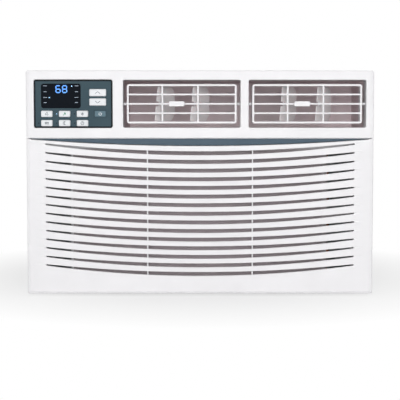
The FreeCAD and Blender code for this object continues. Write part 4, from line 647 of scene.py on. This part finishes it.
for name in ("filter_check", "sleep", "timer", "mode", "energy_saver"):
    low, high = key_boxes[name]
    x = low.x + KEY_FLANGE - LAMP_LEFT
    lit = name == "energy_saver"
    (lamps if lit else dim_lamps).slab(
        disc_loop(x, (low.z + high.z) / 2, 1.0 * MM, 3 if lit else 20), [],
        PANEL_FACE - 0.25 * MM, PANEL_FACE + 0.3 * MM, 0.1 * MM)
piece("display_status_marks", status, glowing("status_print", (0.42, 0.50, 0.60), 0.10),
      "housing")
piece("display_lamps", lamps, glowing("lamp_glow", (0.35, 0.62, 0.95), 1.2), "housing")
piece("panel_lamps_unlit", dim_lamps, finish("lamp_unlit", (0.012, 0.016, 0.020), 0.2),
      "housing")

# ---- Buttons ----
# Nine moulded caps with soft edges, each on a stem that presses a switch behind the panel. A printed mark
# on each face says what it does, and none of them is lettering.
KEY_WHITE = (0.74, 0.76, 0.78)
KEY_ROUND = 1.0 * MM
FLANGE_BACK = PANEL_BACK + 1.0 * MM
MARK_RAISE = 0.06 * MM
MARK_WIDTH = 0.85 * MM
key_plastic = finish("key_plastic", KEY_WHITE, 0.4)
power_plastic = finish("power_key_plastic", tuple(2.2 * part for part in SLATE), 0.4)
grey_ink = finish("grey_ink", (0.14, 0.17, 0.19), 0.55, shade=0.1)
green_ink = finish("green_ink", (0.05, 0.28, 0.16), 0.55, shade=0.1)
white_ink = finish("white_ink", (0.75, 0.78, 0.80), 0.55, shade=0.05)


def arc(x, z, radius, start, end, points=14):
    """Points of an arc, by its centre, radius and two angles in degrees."""
    angles = np.radians(np.linspace(start, end, points))
    return np.column_stack([x + radius * np.cos(angles), z + radius * np.sin(angles)])


def line(*points):
    """Points of a straight or bent line."""
    return np.array(points, float)


def stroke_loop(path, width):
    """The outline of a drawn line: the path moved half a width to each side."""
    ahead = unit(np.gradient(path, axis=0))
    aside = np.column_stack([-ahead[:, 1], ahead[:, 0]]) * width / 2
    return np.vstack([path - aside, (path + aside)[::-1]])


def flake(size):
    """Three crossing lines, for cold air."""
    angles = np.radians((90, 30, 150))
    return [line((-size * math.cos(a), -size * math.sin(a)), (size * math.cos(a), size * math.sin(a)))
            for a in angles]


marks = {
    "up": [line((-4.2, -1.6), (0, 1.8), (4.2, -1.6))],
    "down": [line((-4.2, 1.6), (0, -1.8), (4.2, 1.6))],
    "timer": [arc(0, 0, 2.6, 0, 350, 28), line((0, 1.7), (0, 0), (1.3, 0))],
    "mode": flake(2.9),
    "power": [arc(0, 0, 2.3, 130, 410, 26), line((0, 0.6), (0, 3.0))],
    "energy_saver": [arc(-0.9, -0.9, 3.0, 5, 85, 12), arc(2.1, 2.1, 3.0, 185, 265, 12),
                     line((-2.6, -2.6), (1.0, 1.0))],
    "sleep": [arc(0, 0, 2.6, 60, 300, 24), arc(1.6, 0, 2.2, 90, 270, 16)],
    "fan_speed": [arc(1.3 * math.cos(a), 1.3 * math.sin(a), 1.3,
                      math.degrees(a) - 150, math.degrees(a) + 60, 14)
                  for a in (math.pi / 2, math.pi * 7 / 6, math.pi * 11 / 6)],
    "filter_check": [line((x, -2.2), (x, 2.2)) for x in (-2.4, 0, 2.4)]
                    + [line((-3.4, z), (3.4, z)) for z in (-1.2, 1.2)],
}
inks = {"power": white_ink, "energy_saver": green_ink}
for name in KEY_NAMES:
    low, high = key_boxes[name]
    face = low.y - FRONT
    middle = ((low.x + high.x) / 2, (low.z + high.z) / 2)
    cap = Skin()
    cap.slab(key_loop(name), [], face, PANEL_BACK + 0.5 * MM, KEY_ROUND)
    cap.slab(rectangle(low.x, low.z, high.x, high.z, 1.2 * MM), [],
             PANEL_BACK + 0.2 * MM, FLANGE_BACK, 0.1 * MM)
    cap.rod((middle[0], FRONT + FLANGE_BACK - 0.2 * MM, middle[1]), (middle[0], high.y, middle[1]), 2.2 * MM)
    body = f"button_{name}"
    piece(f"{body}_cap", cap, power_plastic if name == "power" else key_plastic, body, [body])
    mark = Skin()
    for path in marks[name]:
        dense = path if len(path) > 3 else np.vstack(
            [np.linspace(a, b, 5)[:-1] for a, b in zip(path, path[1:])]
                                                     + [path[-1:]])
        mark.slab(np.array(middle) + stroke_loop(dense * MM, MARK_WIDTH), [], face - MARK_RAISE,
                  face + 0.3 * MM, 0.02 * MM)
    piece(f"{body}_mark", mark, inks.get(name, grey_ink), body)

# ---- Louvre cassettes ----
# A moulded frame in each outlet, of a round-edged border, three level bars and two upright rods, with a
# thin skirt behind it that carries the vanes. Each tilts on a pin at either end.
BORDER = 3.6 * MM
BAR = 3.0 * MM
GRID_FACE = 6.0 * MM
GRID_DEPTH = 3.4 * MM
SKIRT = 1.6 * MM
CASSETTE_CORNER = 4.5 * MM
TILT_DEPTH = 22 * MM
VANE_PLACES = (-33.6 * MM, 28.1 * MM)
SECTION_SIDES = 16


def soft_section(width, depth, sides=SECTION_SIDES, power=0.55):
    """A rounded-square section: cos and sin of an angle, each raised to a power below 1."""
    angles = np.linspace(0, 2 * math.pi, sides, endpoint=False) + math.pi / sides
    shape = np.column_stack([np.cos(angles), np.sin(angles)])
    return np.sign(shape) * np.abs(shape) ** power * (width / 2, depth / 2)


def level_bar(skin, left, right, z, depth, height, thick):
    """A bar along X of a rounded-square section."""
    section = soft_section(height, thick)
    ends = [skin.add(np.column_stack([np.full(len(section), x), FRONT + depth + section[:, 1],
                                      z + section[:, 0]]))
            for x in (left, right)]
    skin.chain(ends)
    for ring, x in zip(ends, (left, right)):
        skin.fan(ring, (x, FRONT + depth, z))


def upright_bar(skin, x, low, high, depth, width, thick):
    """A bar along Z of a rounded-square section."""
    section = soft_section(width, thick)
    ends = [skin.add(np.column_stack([x + section[:, 0], FRONT + depth + section[:, 1],
                                      np.full(len(section), z)]))
            for z in (low, high)]
    skin.chain(ends)
    for ring, z in zip(ends, (low, high)):
        skin.fan(ring, (x, FRONT + depth, z))


for hand, middle in outlet_middles.items():
    low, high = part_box(f"louver_frame_{hand}")
    cassette = Skin()
    edge = rectangle(middle - CASSETTE_HALF, low.z, middle + CASSETTE_HALF, high.z, CASSETTE_CORNER, steps=8)
    centre_depth = GRID_FACE + GRID_DEPTH / 2
    cassette.chain([cassette.ring(inset(edge, BORDER / 2 + across), centre_depth + deep)
                    for across, deep in soft_section(BORDER, GRID_DEPTH)], closed=True)
    pitch = (high.z - low.z - BORDER) / 4
    for row in (-1, 0, 1):
        level_bar(cassette, middle - CASSETTE_HALF + BORDER / 2, middle + CASSETTE_HALF - BORDER / 2,
                  (low.z + high.z) / 2 + row * pitch, centre_depth, BAR, BAR)
    for place in VANE_PLACES:
        upright_bar(cassette, middle + place, low.z + BORDER / 2, high.z - BORDER / 2, centre_depth, BAR, BAR)
        for end, sign in ((low.z, 1), (high.z, -1)):
            cassette.rod((middle + place, FRONT + 37 * MM, end + sign * 0.2 * MM),
                         (middle + place, FRONT + 37 * MM, end + sign * 3.4 * MM), 3.4 * MM)
    inner_edge = inset(edge, SKIRT)
    cassette.chain([cassette.ring(edge, GRID_FACE + 2 * MM), cassette.ring(edge, high.y - FRONT),
                    cassette.ring(inner_edge, high.y - FRONT), cassette.ring(inner_edge, GRID_FACE + 2 * MM)],
                   closed=True)
    mid_height = (low.z + high.z) / 2
    for side, end in ((-1, low.x), (1, high.x)):
        cassette.rod((middle + side * (CASSETTE_HALF - 0.5 * MM), FRONT + TILT_DEPTH, mid_height),
                     (end, FRONT + TILT_DEPTH, mid_height), 2.5 * MM)
    piece(f"louver_frame_{hand}_moulded", cassette, white_moulding, f"louver_{hand}",
          [f"louver_frame_{hand}"])

# ---- Air vanes and their links ----
# Pale translucent vanes turn on upright pivots behind the cassette, two in each. A flat link with a thumb
# tab joins the pair, and two faint ridges stiffen each vane.
VANE_HALF = 30 * MM
VANE_TURN = math.radians(30)
VANE_DEPTH = 37 * MM
TOP_REACH, LOW_REACH, TAIL = 17 * MM, 27 * MM, 40 * MM
TOP_ROUND, LOW_ROUND, FRONT_ROUND = 16 * MM, 20 * MM, 2.5 * MM
NOTCH_HALF, NOTCH_BACK = 4.1 * MM, 7 * MM
CRANK = 12 * MM
vane_plastic = finish("vane_plastic", (0.86, 0.82, 0.825), 0.36, Subsurface_Weight=0.3,
                      Subsurface_Radius=(0.004, 0.003, 0.003))


def corner_cut(height, edge, radius):
    """How much a round corner takes off a side: r - sqrt(r^2 - (height - edge + r)^2)."""
    past = np.clip(height - (edge - radius), 0, radius)
    return radius - np.sqrt(np.maximum(radius ** 2 - past ** 2, 0))


def vane_skin(x, z):
    """A vane as a grid: along its height, and round a section whose half thickness is a formula.

    The section runs from the slanted front edge to the round-cornered tail. Its half thickness is a thin
    wall, plus a bell curve at the pivot and a small one at each ridge.
    """
    steps = np.sin(np.linspace(-math.pi / 2, math.pi / 2, 45)) * VANE_HALF
    jump = 0.02 * MM
    steps = np.sort(np.concatenate([steps[np.abs(steps) > NOTCH_HALF + jump], np.array((-1, 1)) * NOTCH_HALF,
                                    np.array((-1, 1)) * (NOTCH_HALF - jump)]))
    slant = TOP_REACH + (VANE_HALF - steps) * (LOW_REACH - TOP_REACH) / (2 * VANE_HALF)
    front = -slant + corner_cut(np.abs(steps), VANE_HALF, FRONT_ROUND)
    front = np.where(np.abs(steps) < NOTCH_HALF - jump / 2, -NOTCH_BACK, front)
    tail = TAIL - corner_cut(steps, VANE_HALF, TOP_ROUND) - corner_cut(-steps, VANE_HALF, LOW_ROUND)
    angles = np.linspace(0, 2 * math.pi, 80, endpoint=False)[None]
    along = ((front + tail) / 2)[:, None] + ((tail - front) / 2)[:, None] * np.cos(angles)
    half_thick = 0.9 * MM + 1.1 * MM * np.exp(-(along / (2 * MM)) ** 2)
    for ridge in (-11, 12, 24):
        half_thick += 0.35 * MM * np.exp(-((along - ridge * MM) / (1.0 * MM)) ** 2)
    aside = half_thick * np.sign(np.sin(angles)) * np.abs(np.sin(angles)) ** 0.4
    px = x + along * math.sin(VANE_TURN) + aside * math.cos(VANE_TURN)
    py = FRONT + VANE_DEPTH + along * math.cos(VANE_TURN) - aside * math.sin(VANE_TURN)
    pz = z + steps[:, None] + 0 * along
    skin = Skin()
    rings = [skin.add(np.column_stack(row)) for row in zip(px, py, pz)]
    skin.chain(rings)
    for row in (0, -1):
        skin.fan(rings[row], (px[row].mean(), py[row].mean(), pz[row].mean()))
    return skin


for hand, middle in outlet_middles.items():
    link_low, link_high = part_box(f"vane_link_{hand}")
    pegs = []
    for count, place in enumerate(VANE_PLACES, 1):
        low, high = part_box(f"vane_{hand}_{count}")
        x, z = middle + place, (low.z + high.z) / 2
        vane = vane_skin(x, z)
        vane.rod((x, FRONT + VANE_DEPTH, low.z), (x, FRONT + VANE_DEPTH, high.z), 1.5 * MM)
        peg = (x - CRANK * math.sin(VANE_TURN), FRONT + VANE_DEPTH - CRANK * math.cos(VANE_TURN), z)
        pegs.append(peg)
        vane.rod((peg[0], peg[1], z - NOTCH_HALF - 0.3 * MM),
                 (peg[0], peg[1], z + NOTCH_HALF + 0.3 * MM), 1.2 * MM)
        piece(f"vane_{hand}_{count}_moulded", vane, vane_plastic, f"vane_{hand}_{count}",
              [f"vane_{hand}_{count}"])
    link = Skin()
    tab_x = (pegs[0][0] + pegs[1][0]) / 2
    z = pegs[0][2]
    tab_front = link_low.y - FRONT
    tab_half = (link_high.z - link_low.z) / 2
    link.slab(rectangle(tab_x - 13.25 * MM, z - tab_half, tab_x + 13.25 * MM, z + tab_half, 1.2 * MM), [],
              tab_front, tab_front + 2.4 * MM, 0.8 * MM)
    for level in (-tab_half, tab_half - 1.2 * MM):
        link.block((tab_x - 3 * MM, link_low.y + 1 * MM, z + level),
               (tab_x + 3 * MM, pegs[0][1], z + level + 1.2 * MM))
    link.block((tab_x - 3 * MM, pegs[0][1] - 1.2 * MM, z - tab_half),
               (tab_x + 3 * MM, pegs[0][1] + 1.2 * MM, z + tab_half))
    level_bar(link, pegs[0][0], pegs[1][0], z, pegs[0][1] - FRONT, 2.4 * MM, 2.4 * MM)
    for peg in pegs:
        angles = np.linspace(0, 2 * math.pi, 24, endpoint=False)[:, None]
        around = np.hstack([np.cos(angles), np.sin(angles), 0 * angles])
        eye_rings = [link.add(np.array(peg) + around * radius + (0, 0, rise)) for radius, rise in
                     ((1.25 * MM, -1.2 * MM), (2.4 * MM, -1.2 * MM),
                      (2.4 * MM, 1.2 * MM), (1.25 * MM, 1.2 * MM))]
        link.chain(eye_rings, closed=True)
    piece(f"vane_link_{hand}_moulded", link, white_moulding, f"link_{hand}",
          [f"vane_link_{hand}"])

# ---- Intake grille ----
# The lower moulding, of the same white plastic: fifteen bowed slots with rounded lower lips, shallow grooves
# that carry each slot on towards the sides and die away, and two upright ribs behind the bars. The wall
# at its foot ends in front of the hinge lugs.
GRILLE_LOW, GRILLE_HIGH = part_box("intake_grille")
SLOT_HALF, SLOT_PITCH, SLOT_COUNT = 267 * MM, 15 * MM, 15
SLOT_END, SLOT_DIP, SLOT_SWELL = 2.4 * MM, 16 * MM, 4.4 * MM
FIRST_SLOT = SEAM - 10.1 * MM
GRILLE_PLATE = 5 * MM
GROOVE_START, GROOVE_END = 268.6 * MM, 286 * MM
GRILLE_CORNER = 3 * MM
RIB_PLACES = (-91 * MM, 91 * MM)
RIB_FACE = 2.6 * MM
FOOT_TOP, FOOT_WALL = 12 * MM, 6 * MM
STRIP_CLEAR = 0.8 * MM


def grille_ring(reach):
    """The grille's outline, inset by the reach at its sides and foot and by a share of it along the seam."""
    side, low = GRILLE_HIGH.x - reach, GRILLE_LOW.z + 0.7 * reach
    high = GRILLE_HIGH.z - CHAMFER_SEAM * reach
    corner = max(GRILLE_CORNER - reach * 0.5, 0.8 * MM)
    foot = rounded([(-side, high, 0), (-side, FOOT_TOP, 0), (-side, low, corner),
                    (side, low, corner), (side, FOOT_TOP, 0), (side, high, 0)])
    dip_half = STRIP_HALF + 1 * MM
    x = np.linspace(dip_half, -dip_half, 81)
    dip = high - STRIP_END - STRIP_CLEAR - slot_x(x, dip_half, STRIP_DIP)
    brow = np.vstack([[(dip_half + 0.5 * MM, high)], np.column_stack([x, dip]),
                      [(-dip_half - 0.5 * MM, high)]])
    return np.vstack([foot, brow])


grille = Skin()
grille_rim = [grille.ring(grille_ring(reach * MM), depth * MM) for reach, depth in CHAMFER]
grille_outline = grille_ring(0)
grille_inner = inset(grille_outline, MOULDING)
grille_back = np.where(grille_outline[:, 1] < FOOT_TOP - 0.1 * MM, FOOT_WALL, GRILLE_HIGH.y - FRONT)
grille_rim += [grille.ring(grille_outline, grille_back), grille.ring(grille_inner, grille_back),
               grille.ring(grille_inner, GRILLE_PLATE)]
grille.chain(grille_rim)
slot_rims, groove_rims = [], []
x = np.linspace(-SLOT_HALF, SLOT_HALF, 57)
for count in range(SLOT_COUNT):
    level = FIRST_SLOT - count * SLOT_PITCH
    lower = level - SLOT_END / 2 - slot_x(x, SLOT_HALF, SLOT_DIP + SLOT_SWELL / 2)
    upper = level + SLOT_END / 2 - slot_x(x, SLOT_HALF, SLOT_DIP - SLOT_SWELL / 2)
    loop = np.vstack([np.column_stack([x, lower]), np.column_stack([x[::-1], upper[::-1]])])
    radius = np.concatenate([np.full(len(x), 1.3 * MM), np.full(len(x), 0.5 * MM)])
    radius[[0, len(x) - 1, len(x), -1]] = 0.4 * MM
    rim = grille.lip(loop, radius, side=-1) + [grille.ring(loop, GRILLE_PLATE)]
    grille.chain(rim)
    slot_rims.append(rim)
    for side in (-1, 1):
        way = np.linspace(0, 1, 12)
        gx = GROOVE_START + (GROOVE_END - GROOVE_START) * way
        centre = level - slot_x(gx, SLOT_HALF, SLOT_DIP)
        half = (1.15 - 0.85 * way) * MM
        low_edge, high_edge = np.column_stack([gx, centre - half]), np.column_stack([gx, centre + half])
        groove = np.vstack([low_edge, high_edge[::-1]])
        depth = np.concatenate([1 - way, (1 - way)[::-1]]) * 1.1 * MM
        if side < 0:
            groove = (groove * (-1, 1))[::-1]
            depth = depth[::-1]
        rings = [grille.ring(groove, 0), grille.ring(inset(groove, 0.25 * MM), 0.5 * depth + 0.02 * MM)]
        grille.chain(rings)
        grille.sheet([rings[-1]])
        groove_rims.append(rings)
grille.sheet([grille_rim[0]] + [rim[0] for rim in slot_rims + groove_rims])
grille.sheet([grille_rim[-1]] + [rim[-1] for rim in slot_rims])
for place in RIB_PLACES:
    rib = rectangle(place - 1 * MM, GRILLE_LOW.z + MOULDING, place + 1 * MM, FIRST_SLOT - 8 * MM,
                    0.3 * MM, steps=2)
    grille.slab(rib, [], RIB_FACE, GRILLE_PLATE + 8 * MM, 0.2 * MM)
piece("intake_grille_moulded", grille, white_moulding, "grille", ["intake_grille"])

# ---- Filter, cabinet and machinery ----
# These parts keep their frame shapes and get their finishes here: a woven net in its frame, powder-coated
# steel panels, pressed aluminium fins, copper tubes, a foam duct, and the black compressor on rubber feet.
FIN_PITCH = 1.8 * MM
NET_PITCH = 1.3 * MM


def bands(tree, axis, pitch):
    """Lines across one axis: a sine of the place along it, 0 in each gap and 1 on each line."""
    place = wire(tree, "ShaderNodeTexCoord")
    wave = wire(tree, "ShaderNodeTexWave", bands_direction=axis, wave_profile="SIN")
    wave.inputs["Scale"].default_value = math.pi / (10 * pitch)
    tree.links.new(place.outputs["Object"], wave.inputs["Vector"])
    return between(tree, wave.outputs["Fac"], 0, 1)


def ruled(material, axes, pitch, gap_colour, depth):
    """Adds fine lines to a finish: darker gaps between them, and a bump of a real depth."""
    tree = material.node_tree
    shader = tree.nodes["Principled BSDF"]
    colour = shader.inputs["Base Color"].links[0].from_socket
    normal = shader.inputs["Normal"].links[0].from_socket
    for axis in axes:
        line_height = bands(tree, axis, pitch)
        mix = wire(tree, "ShaderNodeMix", data_type="RGBA")
        mix.inputs["A"].default_value = (*gap_colour, 1)
        tree.links.new(colour, mix.inputs["B"])
        tree.links.new(line_height, mix.inputs["Factor"])
        colour = mix.outputs["Result"]
        normal = bumped(tree, line_height, depth, normal)
    tree.links.new(colour, shader.inputs["Base Color"])
    tree.links.new(normal, shader.inputs["Normal"])
    return material


filter_net = ruled(finish("filter_net", (0.62, 0.55, 0.575), 0.7, grain_depth=0.02 * MM, shade=0.1),
                   ("X", "Z"), NET_PITCH, (0.40, 0.35, 0.37), 0.15 * MM)
filter_plastic = finish("filter_plastic", (0.50, 0.46, 0.475), 0.5)
cabinet_paint = finish("cabinet_paint", (0.70, 0.70, 0.69), 0.42, grain_size=1.8 * MM, grain_depth=0.06 * MM,
                       shade=0.05)
zinc = finish("zinc_steel", (0.52, 0.53, 0.54), 0.35, shade=0.3, shade_size=14 * MM, rough_play=0.1,
              Metallic=1.0)
foam = finish("foam_duct", (0.80, 0.70, 0.72), 0.85, grain_size=2.4 * MM, grain_depth=0.2 * MM)
black_plastic = finish("black_plastic", (0.02, 0.02, 0.021), 0.5)
module_black = finish("module_black", (0.01, 0.01, 0.012), 0.5)
board_green = finish("board_green", (0.01, 0.12, 0.05), 0.4, shade=0.2, shade_size=8 * MM)
# The near-black gap colour between the fin lines is painted shade, standing in for the shadow deep between the
# fins.
fin_aluminium = ruled(finish("fin_aluminium", (0.60, 0.61, 0.62), 0.4, shade=0.15, Metallic=1.0),
                      ("X",), FIN_PITCH, (0.06, 0.06, 0.065), 0.5 * MM)
copper = finish("copper", (0.72, 0.32, 0.17), 0.3, shade=0.2, shade_size=20 * MM, Metallic=1.0)
black_paint = finish("black_paint", (0.015, 0.015, 0.016), 0.3, grain_depth=0.03 * MM)
rubber = finish("rubber", (0.015, 0.015, 0.015), 0.8, grain_depth=0.05 * MM)

slot_finish = {
    "front_white": white_moulding, "vane_plastic": vane_plastic, "panel_grey": slate, "key_white": key_plastic,
    "strip_blue": strip_lacquer, "lens_dark": smoked, "module_black": module_black, "board_green": board_green,
    "filter_plastic": filter_plastic, "filter_net": filter_net, "cabinet_paint": cabinet_paint,
    "zinc_steel": zinc, "foam_duct": foam, "black_plastic": black_plastic, "fin_aluminium": fin_aluminium,
    "copper": copper, "black_paint": black_paint, "rubber": rubber,
}
node_slots = {part["node"]: part["material_slot"] for part in frame["record"]["subparts"]}
for name, obj in nodes.items():
    chosen = slot_finish[node_slots[name]]
    if obj.material_slots:
        for place in obj.material_slots:
            place.material = chosen
    else:
        obj.data.materials.append(chosen)
